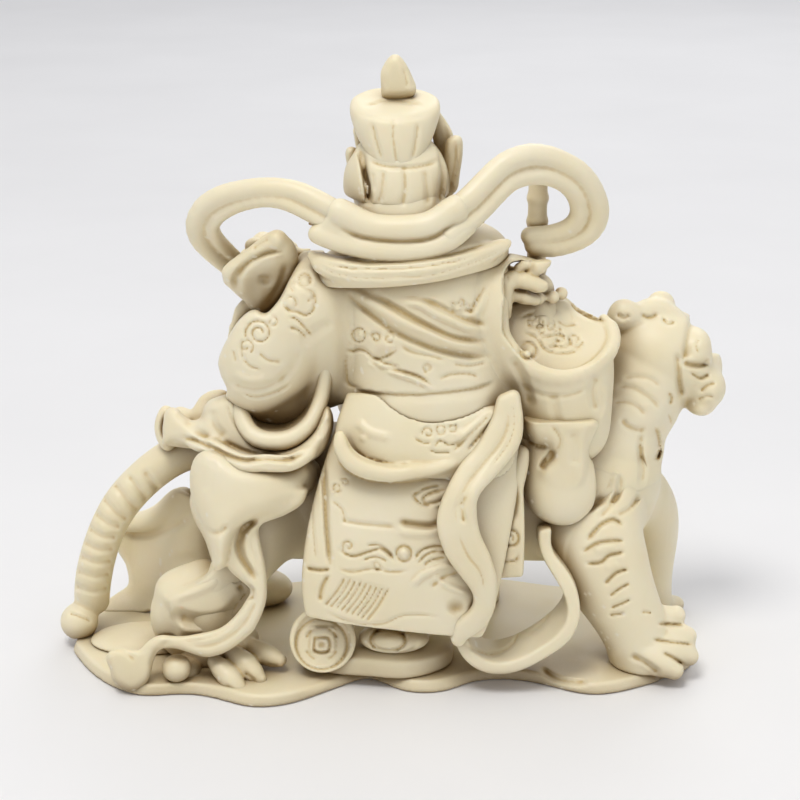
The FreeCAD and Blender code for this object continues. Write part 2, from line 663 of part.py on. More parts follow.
def make_head():
    """Neck, skull and beard, with the hat's cap, crown, flaps and finial above them."""
    neck = Part.makeCylinder(neck_radius, head_rise, torso_top - Z_AXIS * seat_sink, Z_AXIS)
    centre = torso_top + V(0, head_forward, head_rise)
    skull = egg(centre, head_width, head_depth, head_height)
    beard_size = V(beard_length, beard_depth, beard_height)
    chin = centre + V(0, head_depth / 4, -head_height / 4)
    beard = limb(chin, beard_size, beard_girth, beard_stations_shares, wide_axis=X_AXIS)
    pieces["head"] = seated(joined(neck, skull, beard), pieces["torso"], pieces["shoulder_cape"])
    peg("figure_dowels", torso_top - Z_AXIS * (dowel_length / 2), Z_AXIS, dowel_radius, dowel_length)
    outer = egg(centre, head_width + cap_wall * 2, head_depth + cap_wall * 2, head_height + cap_wall * 2)
    brim = centre.z - head_height * cap_brim_drop_share
    below = Part.makeBox(head_width * 2, head_depth * 2, head_height * 2,
                         V(centre.x - head_width, centre.y - head_depth, brim - head_height * 2))
    pieces["hat_cap"] = seated(outer, below, pieces["head"])
    crown_size = V(crown_length, crown_depth, crown_height)
    crown_foot = centre + Z_AXIS * (head_height * crown_sink_share)
    crown = limb(crown_foot, crown_size, crown_girth, crown_stations_shares, wide_axis=X_AXIS)
    pieces["hat_crown"] = seated(crown, outer)
    crown_top = path_of(crown_foot, crown_size, crown_stations_shares)[-1]
    finial_centre = crown_top + Z_AXIS * (finial_height * finial_neck_share)
    finial = egg(finial_centre, finial_width, finial_depth, finial_height)
    pieces["hat_finial"] = seated(finial, pieces["hat_crown"])
    peg("ornament_pins", crown_top - Z_AXIS * (pin_length / 2), Z_AXIS, pin_radius, pin_length)
    peg("ornament_pins", centre + Z_AXIS * (head_height / 2 - pin_length / 2), Z_AXIS, dowel_radius,
        pin_length)
    for side, name in ((-1, "hat_flap_left"), (1, "hat_flap_right")):
        make_hat_flap(name, centre, side)


def make_hat_flap(name, centre, side):
    """An upright leaf that stands out beside the ear."""
    foot = centre + V(side * head_width / 2, 0, -hat_flap_length / 2)
    lean = V(side * hat_flap_splay_share * hat_flap_length, 0, hat_flap_length)
    turn = math.radians(hat_flap_turn_degrees)
    wide = V(math.sin(turn), side * math.cos(turn), 0)
    thick = V(math.cos(turn), -side * math.sin(turn), 0)
    rings = [slat(foot + lean * along, wide, thick, hat_flap_width / 2 * width, hat_flap_thickness / 2)
             for along, width in ((0, 3 / 4), (1 / 2, 1), (1, 1))]
    pieces[name] = seated(Part.makeLoft(rings, True, True), pieces["hat_cap"], pieces["head"],
                          pieces["shoulder_cape"])


def make_left_arm():
    """Puffed upper sleeve, hanging sleeve bag, flared cuff and hand."""
    size = V(left_sleeve_length, left_sleeve_depth, left_sleeve_height)
    seat = torso_spot(left_sleeve_seat_shares)
    sleeve = limb(seat, size, left_sleeve_girth, left_sleeve_stations_shares)
    pieces["left_sleeve"] = seated(sleeve, pieces["torso"], pieces["shoulder_cape"])
    centres = path_of(seat, size, left_sleeve_stations_shares)
    peg("figure_dowels", seat - (centres[1] - seat) * (1 / 2), centres[1] - seat, dowel_radius, dowel_length)
    corner = centres[0] - spot(V(), size, left_sleeve_stations_shares[0])
    drape_centre = spot(corner, size, left_drape_shares)
    drape = egg(drape_centre, left_drape_length, left_drape_depth, left_drape_height)
    mouth = egg(drape_centre - Y_AXIS * (left_drape_depth / 3) + Z_AXIS * left_drape_wall,
                left_drape_length - left_drape_wall * 2, left_drape_depth - left_drape_wall * 2,
                left_drape_height - left_drape_wall * 2)
    pieces["left_sleeve_drape"] = seated(drape, mouth, pieces["torso"], pieces["left_sleeve"])
    cuff_size = V(left_cuff_length, left_cuff_depth, left_cuff_height)
    cuff_seat = spot(corner, size, left_cuff_seat_shares)
    cuff = limb(cuff_seat, cuff_size, left_cuff_girth, left_cuff_stations_shares)
    rim = path_of(cuff_seat, cuff_size, left_cuff_stations_shares)[-1]
    hollow = egg(rim, (left_cuff_girth - left_cuff_wall) * 2, (left_cuff_girth - left_cuff_wall) * 2,
                 left_cuff_girth)
    peg("ornament_pins", cuff_seat - Z_AXIS * (pin_length / 2), rim - cuff_seat, pin_radius, pin_length)
    pieces["left_cuff"] = seated(cuff, hollow, pieces["left_sleeve"], pieces["left_sleeve_drape"],
                                 pieces["torso"])
    hand = egg(rim + Y_AXIS * (left_hand_depth / 4), left_hand_width, left_hand_depth, left_hand_height * 2)
    pieces["left_hand"] = seated(hand, pieces["left_cuff"])


def make_right_arm():
    """Wide open sleeve, its hanging lobe, the raised hand, its baton and its beads."""
    size = V(right_sleeve_length, right_sleeve_depth, right_sleeve_height)
    seat = torso_spot(right_sleeve_seat_shares)
    sleeve = limb(seat, size, right_sleeve_girth, right_sleeve_stations_shares)
    corner = seat - spot(V(), size, right_sleeve_stations_shares[0])
    pocket_centre = spot(corner, size, right_pocket_shares)
    pocket = egg(pocket_centre, right_pocket_length, right_pocket_depth, right_pocket_height)
    pieces["right_sleeve"] = seated(sleeve, pieces["torso"], pieces["shoulder_cape"], pieces["tiger_body"],
                                    pieces["tiger_head"], pocket)
    centres = path_of(seat, size, right_sleeve_stations_shares)
    peg("figure_dowels", seat - (centres[1] - seat) * (1 / 2), centres[1] - seat, dowel_radius, dowel_length)
    drape_size = V(right_drape_length, right_drape_depth, right_drape_height)
    drape = limb(spot(corner, size, right_drape_seat_shares), drape_size, right_drape_girth,
                 right_drape_stations_shares)
    pieces["right_sleeve_drape"] = seated(drape, pieces["right_sleeve"], pieces["torso"],
                                          pieces["tiger_body"], pieces["near_foreleg"])
    wrist_foot = pocket_centre - Z_AXIS * (right_pocket_height / 2)
    wrist_top = wrist_foot + V(*right_wrist_lean_shares) * right_wrist_length
    wrist = Part.makeCylinder(right_wrist_radius, right_wrist_length, wrist_foot, wrist_top - wrist_foot)
    palm = egg(wrist_top, right_hand_width, right_hand_depth, right_hand_height)
    baton_foot = wrist_top + V(0, right_hand_depth / 4, -right_hand_height)
    baton = make_baton(baton_foot)
    pieces["baton"] = baton
    pieces["right_sleeve"] = seated(pieces["right_sleeve"], baton)
    pieces["right_hand"] = seated(joined(wrist, palm), pieces["right_sleeve"], baton)
    make_beads(wrist_top)


def make_baton(foot):
    """A ringed rod that stands up out of the fist."""
    rod = Part.makeCylinder(baton_radius, baton_length, foot, Z_AXIS)
    pitch = baton_length / (baton_ring_count + 1)
    for index in range(2, baton_ring_count + 1):
        level = foot + Z_AXIS * (pitch * (index + 1 / 2))
        rod = rod.fuse(Part.makeCylinder(baton_radius * baton_ring_share, pitch / 4, level, Z_AXIS))
    return largest(rod)


def make_beads(palm_centre):
    """A short string of beads across the back of the fist, each touching the next."""
    beads = []
    for index in range(bead_count):
        turn = math.pi * (index + 1 / 2) / bead_count
        reach = right_hand_width / 2 + bead_radius
        place = palm_centre + V(-reach * math.cos(turn), -reach * math.sin(turn), 0)
        bead = Part.makeSphere(bead_radius, place)
        beads.append(seated(bead, pieces["right_hand"], pieces["right_sleeve"]))
    pieces["hand_beads"] = Part.makeCompound(beads)


def make_robe():
    """Back skirt and its upper tier, lap, front fall, boots, side panel and streamer."""
    body, torso = pieces["tiger_body"], pieces["torso"]
    skirt = limb(torso_spot(skirt_seat_shares), V(skirt_length, skirt_depth, skirt_height), skirt_girth,
                 skirt_stations_shares, wide_axis=X_AXIS)
    pieces["robe_skirt"] = seated(skirt, torso, body, pieces["front_rock"], pieces["near_foreleg"])
    tier = limb(torso_spot(tier_seat_shares), V(tier_length, tier_depth, tier_height), tier_girth,
                tier_stations_shares, wide_axis=X_AXIS)
    pieces["robe_upper_tier"] = seated(tier, torso, pieces["robe_skirt"], body)
    lap_seat = torso_spot(lap_seat_shares)
    lap_size = V(lap_length, lap_depth, lap_height)
    lap = limb(lap_seat, lap_size, lap_girth, lap_stations_shares, wide_axis=X_AXIS)
    pieces["lap_robe"] = seated(lap, torso, body)
    knees = path_of(lap_seat, lap_size, lap_stations_shares)[-2]
    fall_size = V(front_fall_length, front_fall_depth, front_fall_height)
    fall = limb(knees, fall_size, front_fall_girth, front_fall_stations_shares, wide_axis=X_AXIS)
    pieces["front_robe_fall"] = seated(fall, pieces["lap_robe"], body, pieces["far_foreleg"],
                                       pieces["far_rock"])
    make_boots(knees)
    make_straps()


def make_boots(knees):
    for side, name in ((-1, "left_boot"), (1, "right_boot")):
        middle = V(knees.x + side * boot_spread / 2, knees.y + boot_forward,
                   plinth_thickness + far_rock_height + boot_height * paw_sole_share)
        boot = egg(middle, boot_length, boot_depth, boot_height)
        pieces[name] = seated(boot, pieces["far_rock"], pieces["front_robe_fall"], pieces["far_hind_leg"],
                              pieces["far_foreleg"])
        ground = Part.makeBox(boot_length * 2, boot_depth * 2, boot_height,
                              middle - V(boot_length, boot_depth, boot_height * (1 + paw_sole_share)))
        pieces[name] = seated(pieces[name], ground)


def make_straps():
    """Side panel, waist streamer and the curled hem at the right of the skirt."""
    panel_size = V(side_panel_length, side_panel_depth, side_panel_height)
    panel = strap(torso_spot(side_panel_seat_shares), panel_size, side_panel_width,
                  side_panel_thickness, side_panel_stations_shares)
    pieces["robe_side_panel"] = seated(panel, pieces["torso"], pieces["robe_skirt"],
                                       pieces["robe_upper_tier"], pieces["tiger_body"],
                                       pieces["right_sleeve"], pieces["right_sleeve_drape"])
    ribbon = strap(torso_spot(streamer_seat_shares), V(streamer_length, streamer_depth, streamer_height),
                   streamer_width, streamer_thickness, streamer_stations_shares)
    pieces["waist_streamer"] = seated(ribbon, pieces["torso"], pieces["robe_skirt"],
                                      pieces["robe_upper_tier"], pieces["robe_side_panel"],
                                      pieces["right_sleeve"], pieces["right_sleeve_drape"])
    seat = torso_spot((*hem_curl_spot_shares, 0))
    seat.z = plinth_thickness + hem_curl_height + hem_curl_thickness / 2
    curl = strap(seat, V(hem_curl_length, hem_curl_depth, hem_curl_height), hem_curl_width,
                 hem_curl_thickness, hem_curl_stations_shares, wide_axis=Y_AXIS)
    pieces["right_hem_curl"] = seated(curl, pieces["robe_skirt"], pieces["waist_streamer"],
                                      pieces["robe_side_panel"], pieces["tiger_body"],
                                      pieces["near_foreleg"], pieces["right_sleeve_drape"],
                                      pieces["base_plinth"], pieces["front_rock"])


def make_train():
    """Robe train over the haunch, its curling fall, and the cloth that lies on the plinth."""
    tiger = [pieces[name] for name in ("tiger_body", "tiger_tail", "near_hind_leg", "far_hind_leg")]
    figure = [pieces[name] for name in ("torso", "robe_skirt", "robe_upper_tier", "left_sleeve_drape")]
    cover = limb(spot(tiger_corner, tiger_size, train_cover_seat_shares),
                 V(train_cover_length, train_cover_depth, train_cover_height), train_cover_girth,
                 train_cover_stations_shares, thick_axis=Z_AXIS)
    pieces["train_cover"] = seated(cover, *tiger, *figure, pieces["lap_robe"])
    sweep = egg(plinth_spot(train_sweep_spot_shares), train_sweep_length, train_sweep_depth,
                train_sweep_height * 2)
    pieces["train_sweep"] = seated(sweep, *tiger, pieces["base_plinth"])
    fall_seat = spot(tiger_corner, tiger_size, (*train_fall_spot_shares, 0))
    fall_seat.z = plinth_thickness + train_fall_height
    fall = strap(fall_seat, V(train_fall_length, train_fall_depth, train_fall_height), train_fall_width,
                 train_fall_thickness, train_fall_stations_shares, wide_axis=Y_AXIS)
    pieces["train_fall"] = seated(fall, *tiger, *figure, pieces["train_cover"], pieces["base_plinth"],
                                  pieces["train_sweep"], pieces["robe_skirt"])
    fold = egg(plinth_spot(train_fold_spot_shares, train_fold_height * train_fold_rise_share),
               train_fold_length, train_fold_depth, train_fold_height)
    pieces["train_fold"] = seated(fold, *tiger, pieces["train_fall"], pieces["base_plinth"],
                                  pieces["train_sweep"])
    far_seat = spot(tiger_corner, tiger_size, (*far_train_spot_shares, 0))
    far_seat.z = plinth_thickness + far_train_width * far_train_stations_shares[0][3] - seat_sink
    wall = strap(far_seat, V(far_train_length, far_train_depth, far_train_height), far_train_width,
                 far_train_thickness, far_train_stations_shares, wide_axis=Z_AXIS)
    pieces["far_train"] = seated(wall, *tiger, pieces["train_sweep"], pieces["train_cover"],
                                 pieces["base_plinth"])


def make_shawl():
    """A floating ribbon: a band across the back and a loop at each side."""
    band_size = V(band_length, band_depth, band_height)
    middle_share = band_stations_shares[2]
    start = spot(torso_top - spot(V(), band_size, middle_share), band_size, band_stations_shares[0])
    start = start + V(0, -cape_girth * cape_stations_shares[2][4],
                      band_rise - cape_height * (1 - cape_stations_shares[2][2]))
    band = strap(start, band_size, band_width, band_thickness, band_stations_shares)
    pieces["shawl_band"] = seated(band, pieces["shoulder_cape"], pieces["torso"], pieces["head"])
    ends = path_of(start, band_size, band_stations_shares)
    peg("ornament_pins", ends[2] - Y_AXIS * (band_thickness / 4), Y_AXIS, pin_radius, pin_length)
    for end, before, side in ((ends[0], ends[1], 1), (ends[-1], ends[-2], -1)):
        peg("ornament_pins", end + V(side * pin_length / 2, 0, loop_rise / 2), end - before, pin_radius,
            pin_length)
    left = strap(ends[0] + V(loop_thickness, -loop_thickness / 4, loop_rise),
                 V(left_loop_length, left_loop_depth, left_loop_height),
                 left_loop_width, loop_thickness, left_loop_stations_shares)
    near = [pieces[name] for name in ("shawl_band", "shoulder_cape", "torso", "hat_cap", "head")]
    pieces["shawl_loop_left"] = seated(left, *near, pieces["left_sleeve"], pieces["left_cuff"],
                                       pieces["left_hand"])
    right = strap(ends[-1] + V(-loop_thickness, -loop_thickness / 2, loop_rise),
                  V(right_loop_length, right_loop_depth, right_loop_height),
                  right_loop_width, loop_thickness, right_loop_stations_shares)
    pieces["shawl_loop_right"] = seated(right, *near, pieces["right_sleeve"], pieces["right_hand"],
                                        pieces["baton"], pieces["hand_beads"])


def make_treasures():
    """A coin that leans on the robe's hem, a boat-shaped ingot and a pearl."""
    lean = math.radians(coin_lean_degrees)
    face = V(0, -math.cos(lean), math.sin(lean))
    up = V(0, math.sin(lean), math.cos(lean))
    centre = plinth_spot(coin_seat_shares, coin_rise) + up * coin_radius
    disc = Part.makeCylinder(coin_radius, coin_thickness, centre - face * coin_thickness, face)
    field = Part.makeCylinder(coin_radius - coin_rim, coin_relief, centre - face * coin_relief, face)
    half = coin_square_side / 2
    corners = [centre + X_AXIS * (half * x) + up * (half * z)
               for x, z in ((-1, -1), (1, -1), (1, 1), (-1, 1))]
    square = Part.Face(Part.makePolygon(corners + corners[:1])).extrude(face * -coin_relief)
    coin = disc.cut(field).fuse(square)
    pieces["coin"] = seated(coin, pieces["base_plinth"], pieces["front_rock"], pieces["robe_skirt"])
    middle = plinth_spot(ingot_spot_shares, front_rock_height + ingot_height / 2 - seat_sink)
    boat = egg(middle, ingot_length, ingot_depth, ingot_height)
    trough = egg(middle + Z_AXIS * (ingot_height / 2), ingot_length * (3 / 4), ingot_depth * (3 / 4),
                 ingot_height / 2)
    dome = egg(middle + Z_AXIS * (ingot_height / 4), ingot_length / 2, ingot_depth / 2, ingot_dome_height)
    ingot = joined(boat.cut(trough), dome)
    pieces["ingot"] = seated(ingot, pieces["front_rock"], pieces["base_plinth"], pieces["coin"],
                             pieces["robe_skirt"])
    pearl = Part.makeSphere(pearl_radius, plinth_spot(pearl_spot_shares, pearl_radius - seat_sink / 2))
    pieces["pearl"] = seated(pearl, pieces["base_plinth"], pieces["train_fall"], pieces["train_sweep"])


def write_steps():
    os.makedirs("parts", exist_ok=True)
    for name, solids in dowels.items():
        pieces[name] = Part.makeCompound(solids)
    for name, shape in pieces.items():
        shape.exportStep("parts/" + name + ".step")


make_plinth()
make_rocks()
make_tiger_body()
make_legs()
make_tail()
make_tiger_head()
make_torso()
make_head()
make_left_arm()
make_right_arm()
make_robe()
make_train()
make_shawl()
make_treasures()
drill_for_dowels()
write_steps()
for name, shape in pieces.items():
    print(name, "solids", len(shape.Solids), "faces", len(shape.Faces), "volume", round(shape.Volume, 1),
          "valid", shape.isValid())
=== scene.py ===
import json
import math
import bpy
import numpy as np
import openvdb
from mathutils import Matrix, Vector

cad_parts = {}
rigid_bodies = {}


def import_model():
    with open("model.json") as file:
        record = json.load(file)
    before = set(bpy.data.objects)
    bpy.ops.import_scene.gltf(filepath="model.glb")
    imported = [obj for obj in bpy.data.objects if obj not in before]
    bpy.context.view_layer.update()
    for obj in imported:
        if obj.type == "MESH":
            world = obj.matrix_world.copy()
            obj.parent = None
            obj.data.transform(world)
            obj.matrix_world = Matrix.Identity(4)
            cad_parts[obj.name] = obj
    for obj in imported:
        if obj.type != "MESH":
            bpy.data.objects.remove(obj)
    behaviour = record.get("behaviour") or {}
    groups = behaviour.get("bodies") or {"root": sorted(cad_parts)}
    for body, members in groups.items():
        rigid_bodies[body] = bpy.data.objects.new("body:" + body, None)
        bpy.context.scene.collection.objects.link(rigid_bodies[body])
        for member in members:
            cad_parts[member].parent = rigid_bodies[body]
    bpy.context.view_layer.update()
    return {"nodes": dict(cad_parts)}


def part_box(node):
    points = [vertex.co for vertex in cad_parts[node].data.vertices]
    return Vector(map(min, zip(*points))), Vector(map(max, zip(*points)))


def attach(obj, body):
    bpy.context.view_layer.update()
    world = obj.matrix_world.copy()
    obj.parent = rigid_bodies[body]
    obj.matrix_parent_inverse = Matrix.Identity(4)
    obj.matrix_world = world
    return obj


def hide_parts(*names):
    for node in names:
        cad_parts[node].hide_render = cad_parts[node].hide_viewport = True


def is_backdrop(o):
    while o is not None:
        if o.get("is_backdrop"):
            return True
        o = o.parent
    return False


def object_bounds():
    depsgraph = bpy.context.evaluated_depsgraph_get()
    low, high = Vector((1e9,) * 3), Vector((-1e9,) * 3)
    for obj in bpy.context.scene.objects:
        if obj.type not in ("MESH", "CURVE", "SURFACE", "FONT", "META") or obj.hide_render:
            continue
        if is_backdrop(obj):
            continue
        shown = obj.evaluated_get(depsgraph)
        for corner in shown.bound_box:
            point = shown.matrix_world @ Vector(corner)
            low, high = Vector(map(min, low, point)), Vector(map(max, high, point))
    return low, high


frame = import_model()

# Every form is sculpted in millimetres, in a block of signed distances, and then turned into
# a mesh. Carved lines are drawn in the pixels of the 800 x 800 view of the camera below, or
# in millimetres on the figure's front.

MM = 0.001
FAR = 6.0                 # distances are held up to here
GRAIN = 0.315
FINE = 0.24
COARSE = 0.36             # for the plinth
BAND = 9                  # voxels each side of a surface taken from the solids
MARGIN = 1.2              # room round a form's own box, besides its fillet
SEAM = 0.15               # the least fillet between the parts of a swept form
TUBE_STEP = 1.2           # between the sections of a swept form
RIM_STEP = 0.4            # along the two rims of a skin
RULE_STEP = 0.6           # between the rods that make up a skin
SHARP = 0.3               # rounding of a cut with square sides
RIM = 0.2                 # half the thickness left at a sheet's rounded rim
SHEET_REACH = 2.5         # how far from a sheet its distance is worked out
WELD_SINK = 0.06          # how deep a fillet ends under its neighbour's surface
TURN_AWAY = 0.25          # carving fades over this much of the surface's turn from sight
NARROWEST = 0.46          # the least half width of a carved line
STEP_TAPER = 0.1          # share of an edge over which its step fades at each end
STEP_EDGE = 0.35          # width over which cloth sinks under an edge
CURL_POINTS = 12          # to a turn of a spiral
CRUMB = 0.02              # loose bits below this share of a mesh are left out
UNDERSIDE = 0.02          # nothing goes below this height

# The camera
VIEW_DISTANCE = 340.0
VIEW_ELEVATION = math.radians(19.0)
VIEW_TARGET_HEIGHT = 48.0
VIEW_PIXELS = 800
VIEW_FOCUS_PIXELS = 1911.0
SENSOR_MM = 36.0
PIXEL_MM = VIEW_DISTANCE / VIEW_FOCUS_PIXELS
RISE, FALL = math.sin(VIEW_ELEVATION), math.cos(VIEW_ELEVATION)
VIEW_SPOT = np.array((0.0, -VIEW_DISTANCE * FALL, VIEW_TARGET_HEIGHT + VIEW_DISTANCE * RISE))


def make_camera():
    data = bpy.data.cameras.new("camera")
    data.sensor_width = SENSOR_MM
    data.lens = VIEW_FOCUS_PIXELS / VIEW_PIXELS * SENSOR_MM
    data.clip_start, data.clip_end = 0.01, 20.0
    camera = bpy.data.objects.new("camera", data)
    camera.location = VIEW_SPOT * MM
    look = Vector((0, 0, VIEW_TARGET_HEIGHT * MM)) - camera.location
    camera.rotation_euler = look.to_track_quat("-Z", "Y").to_euler()
    bpy.context.scene.collection.objects.link(camera)
    bpy.context.scene.camera = camera


def pixels_of(points):
    """Where points land in the view."""
    height = points[:, 2] - VIEW_TARGET_HEIGHT
    away = VIEW_DISTANCE + points[:, 1] * FALL - height * RISE
    half = VIEW_PIXELS / 2
    return np.stack((half + VIEW_FOCUS_PIXELS * points[:, 0] / away,
                     half - VIEW_FOCUS_PIXELS * (points[:, 1] * RISE + height * FALL) / away), 1)


def at(px, py, depth):
    """The point at that depth (Y) which is seen at a pixel."""
    half = VIEW_PIXELS / 2
    slope = (half - py) / VIEW_FOCUS_PIXELS
    height = (slope * (VIEW_DISTANCE + depth * FALL) - depth * RISE) / (FALL + slope * RISE)
    away = VIEW_DISTANCE + depth * FALL - height * RISE
    return np.array(((px - half) * away / VIEW_FOCUS_PIXELS, depth, height + VIEW_TARGET_HEIGHT))


def seen(path):
    """Points from (px, py, depth, ...) rows; what follows stays."""
    return [(*at(*row[:3]), *row[3:]) for row in path]


def flowing(rows, spacing):
    """A smooth curve through rows of numbers; the first three (or two) are a place."""
    rows = np.array(rows, float)
    if len(rows) < 3:
        return rows
    ends = np.vstack((2 * rows[0] - rows[1], rows, 2 * rows[-1] - rows[-2]))
    places = min(3, rows.shape[1])
    out = []
    for a, b, c, d in zip(ends[:-3], ends[1:-2], ends[2:-1], ends[3:]):
        steps = max(1, int(np.linalg.norm(c[:places] - b[:places]) / spacing))
        for step in range(steps):
            t = step / steps
            out.append(0.5 * (2 * b + (c - a) * t + (2 * a - 5 * b + 4 * c - d) * t * t
                              + (3 * b - a - 3 * c + d) * t ** 3))
    out.append(rows[-1])
    return np.array(out)


def blended(a, b, blend):
    """The union of two forms, filleted over the blend."""
    if not blend:
        return np.minimum(a, b)
    h = np.maximum(blend - np.abs(a - b), 0) / blend
    return np.minimum(a, b) - h * h * blend / 4


class Clay:
    """A block of space that holds one form as signed distances."""

    def __init__(self, low, high, grain=GRAIN):
        self.grain = grain
        self.first = np.floor(np.array(low) / grain).astype(int)
        self.count = np.ceil(np.array(high) / grain).astype(int) - self.first + 1
        self.field = np.full(self.count, FAR, np.float32)

    def window(self, low, high):
        """The part of the field inside a box, and its coordinates."""
        a = np.clip(np.floor(np.array(low) / self.grain).astype(int) - self.first, 0, self.count)
        b = np.clip(np.ceil(np.array(high) / self.grain).astype(int) + 1 - self.first, 0, self.count)
        grids = [(np.arange(a[k], b[k]) + self.first[k]) * self.grain for k in range(3)]
        return tuple(slice(a[k], b[k]) for k in range(3)), (
            grids[0][:, None, None], grids[1][None, :, None], grids[2][None, None, :])

    def put(self, low, high, distance, blend=0.0, cut=False):
        """Adds or cuts away the form that distance(x, y, z) describes inside a box."""
        reach = blend + MARGIN
        where, grids = self.window(np.array(low) - reach, np.array(high) + reach)
        if 0 in self.field[where].shape:
            return self
        shape = distance(*grids)
        old = self.field[where]
        self.field[where] = -blended(-old, shape, blend) if cut else blended(old, shape, blend)
        return self

    def egg(self, centre, radii, tilt=0.0, blend=0.0, cut=False):
        """An ellipsoid; tilt is about Y, in degrees."""
        c, r = np.array(centre, float), np.array(radii, float)
        ca, sa = math.cos(math.radians(tilt)), math.sin(math.radians(tilt))

        def distance(x, y, z):
            x, y, z = x - c[0], y - c[1], z - c[2]
            x, z = x * ca - z * sa, z * ca + x * sa
            near = np.sqrt((x / r[0]) ** 2 + (y / r[1]) ** 2 + (z / r[2]) ** 2)
            slope = np.sqrt((x / r[0] ** 2) ** 2 + (y / r[1] ** 2) ** 2 + (z / r[2] ** 2) ** 2)
            return near * (near - 1) / np.maximum(slope, 1e-6)
        reach = max(r)
        return self.put(c - reach, c + reach, distance, blend, cut)

    def tube(self, path, blend=SEAM, flat=None):
        """A swept form. Rows are (x, y, z, radius) or, with flat as the thin direction,
        (x, y, z, half width, half thickness)."""
        rows = flowing(path, TUBE_STEP)
        for a, b in zip(rows[:-1], rows[1:]):
            step = b[:3] - a[:3]
            square = max(step @ step, 1e-9)
            reach = max(a[3:].max(), b[3:].max())
            low, high = np.minimum(a[:3], b[:3]) - reach, np.maximum(a[:3], b[:3]) + reach
            if flat is not None:
                thin = np.array(flat, float) - step * (step @ np.array(flat, float)) / square
                thin /= np.linalg.norm(thin)

            def distance(x, y, z, a=a, b=b, step=step, square=square):
                x, y, z = x - a[0], y - a[1], z - a[2]
                t = np.clip((x * step[0] + y * step[1] + z * step[2]) / square, 0, 1)
                x, y, z = x - t * step[0], y - t * step[1], z - t * step[2]
                if flat is None:
                    return np.sqrt(x * x + y * y + z * z) - (a[3] + (b[3] - a[3]) * t)
                wide = a[3] + (b[3] - a[3]) * t
                thick = a[4] + (b[4] - a[4]) * t
                across = x * thin[0] + y * thin[1] + z * thin[2]
                rest = np.sqrt(np.maximum(x * x + y * y + z * z - across * across, 0))
                near = np.sqrt((rest / wide) ** 2 + (across / thick) ** 2)
                slope = np.sqrt((rest / wide ** 2) ** 2 + (across / thick ** 2) ** 2)
                return near * (near - 1) / np.maximum(slope, 1e-6)
            self.put(low, high, distance, blend)
        return self

    def sheet(self, outline, depth, half, rounding, blend=0.0, cut=False):
        """A form with that outline in the view, standing at a depth which may be a function
        of x and z, half as thick as half, with its edges rounded over rounding."""
        outline = flowing([*outline, outline[0]], 3.0)
        middle = depth if callable(depth) else (lambda x, z: depth)
        corners = []
        for row in outline:
            place = at(*row, 0.0)
            for _ in range(12):
                place = at(*row, (place[1] + middle(place[0], place[2])) / 2)
            corners += [place - (0, half, 0), place + (0, half, 0)]
        low, high = np.min(corners, 0) - rounding - 2, np.max(corners, 0) + rounding + 2

        def distance(x, y, z):
            shape = np.broadcast_shapes(x.shape, y.shape, z.shape)
            places = np.stack([np.broadcast_to(g, shape).ravel() for g in (x, y, z)], 1)
            away = np.full(len(places), FAR)
            off = np.abs(places[:, 1] - middle(places[:, 0], places[:, 2]))
            some = off < half + SHEET_REACH
            flat = to_outline(pixels_of(places[some]), outline) * PIXEL_MM
            rim = np.clip(1 + flat / rounding, 0, 1)
            thick = half * np.sqrt(np.maximum(1 - rim * rim, 0.0))
            away[some] = np.where(flat > 0, np.hypot(flat, np.maximum(off[some] - RIM, 0)),
                                  np.maximum(flat, off[some] - thick))
            return away.reshape(shape)
        return self.put(low, high, distance, blend, cut)

    def take(self, *nodes, blend=0.6):
        """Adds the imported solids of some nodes."""
        for node in nodes:
            mesh = frame["nodes"][node].data
            mesh.calc_loop_triangles()
            points = np.zeros(len(mesh.vertices) * 3)
            mesh.vertices.foreach_get("co", points)
            corners = np.zeros(len(mesh.loop_triangles) * 3, np.int32)
            mesh.loop_triangles.foreach_get("vertices", corners)
            transform = openvdb.createLinearTransform(voxelSize=self.grain)
            grid = openvdb.FloatGrid.createLevelSetFromPolygons(
                points.reshape(-1, 3) / MM, triangles=corners.reshape(-1, 3).astype(np.uint32),
                transform=transform, halfWidth=BAND)
            shape = np.full(self.count, FAR, np.float32)
            grid.copyToArray(shape, ijk=tuple(int(k) for k in self.first))
            self.field = blended(self.field, shape, blend)
        return self

    def soften(self, passes):
        """Rounds the form's edges a little with each pass."""
        f = self.field
        for _ in range(passes):
            for axis in range(3):
                g = np.moveaxis(f, axis, 0)
                g[1:-1] = (g[:-2] + 2 * g[1:-1] + g[2:]) / 4
        return self

    def trim(self, point, normal, blend=0.0):
        """Cuts away what lies beyond a plane."""
        _, (x, y, z) = self.window(self.first * self.grain, (self.first + self.count - 1) * self.grain)
        n = np.array(normal, float) / np.linalg.norm(normal)
        beyond = (x - point[0]) * n[0] + (y - point[1]) * n[1] + (z - point[2]) * n[2]
        self.field = -blended(-self.field, -np.clip(beyond, -FAR, FAR).astype(np.float32), blend)
        return self

    def weld(self, other, blend):
        """A fillet against a neighbour, which ends just under the neighbour's surface."""
        low = np.maximum(self.first, other.first)
        high = np.minimum(self.first + self.count, other.first + other.count)
        if (high > low).all():
            mine = tuple(slice(*pair) for pair in zip(low - self.first, high - self.first))
            theirs = tuple(slice(*pair) for pair in zip(low - other.first, high - other.first))
            own = self.field[mine]
            self.field[mine] = np.maximum(blended(own, other.field[theirs] + WELD_SINK, blend), own - blend)
        return self

    def ruled(self, first, second, thick, blend=0.3):
        """A thin skin between two paths of (x, y, z) rows."""
        a, b = flowing(first, RIM_STEP)[:, :3], flowing(second, RIM_STEP)[:, :3]
        count = int(max(len(a), len(b)) * RIM_STEP / RULE_STEP)
        for k in range(count + 1):
            start, end = (path[int(round(k / count * (len(path) - 1)))] for path in (a, b))
            self.tube([(*start, thick), (*end, thick)], blend)
        return self

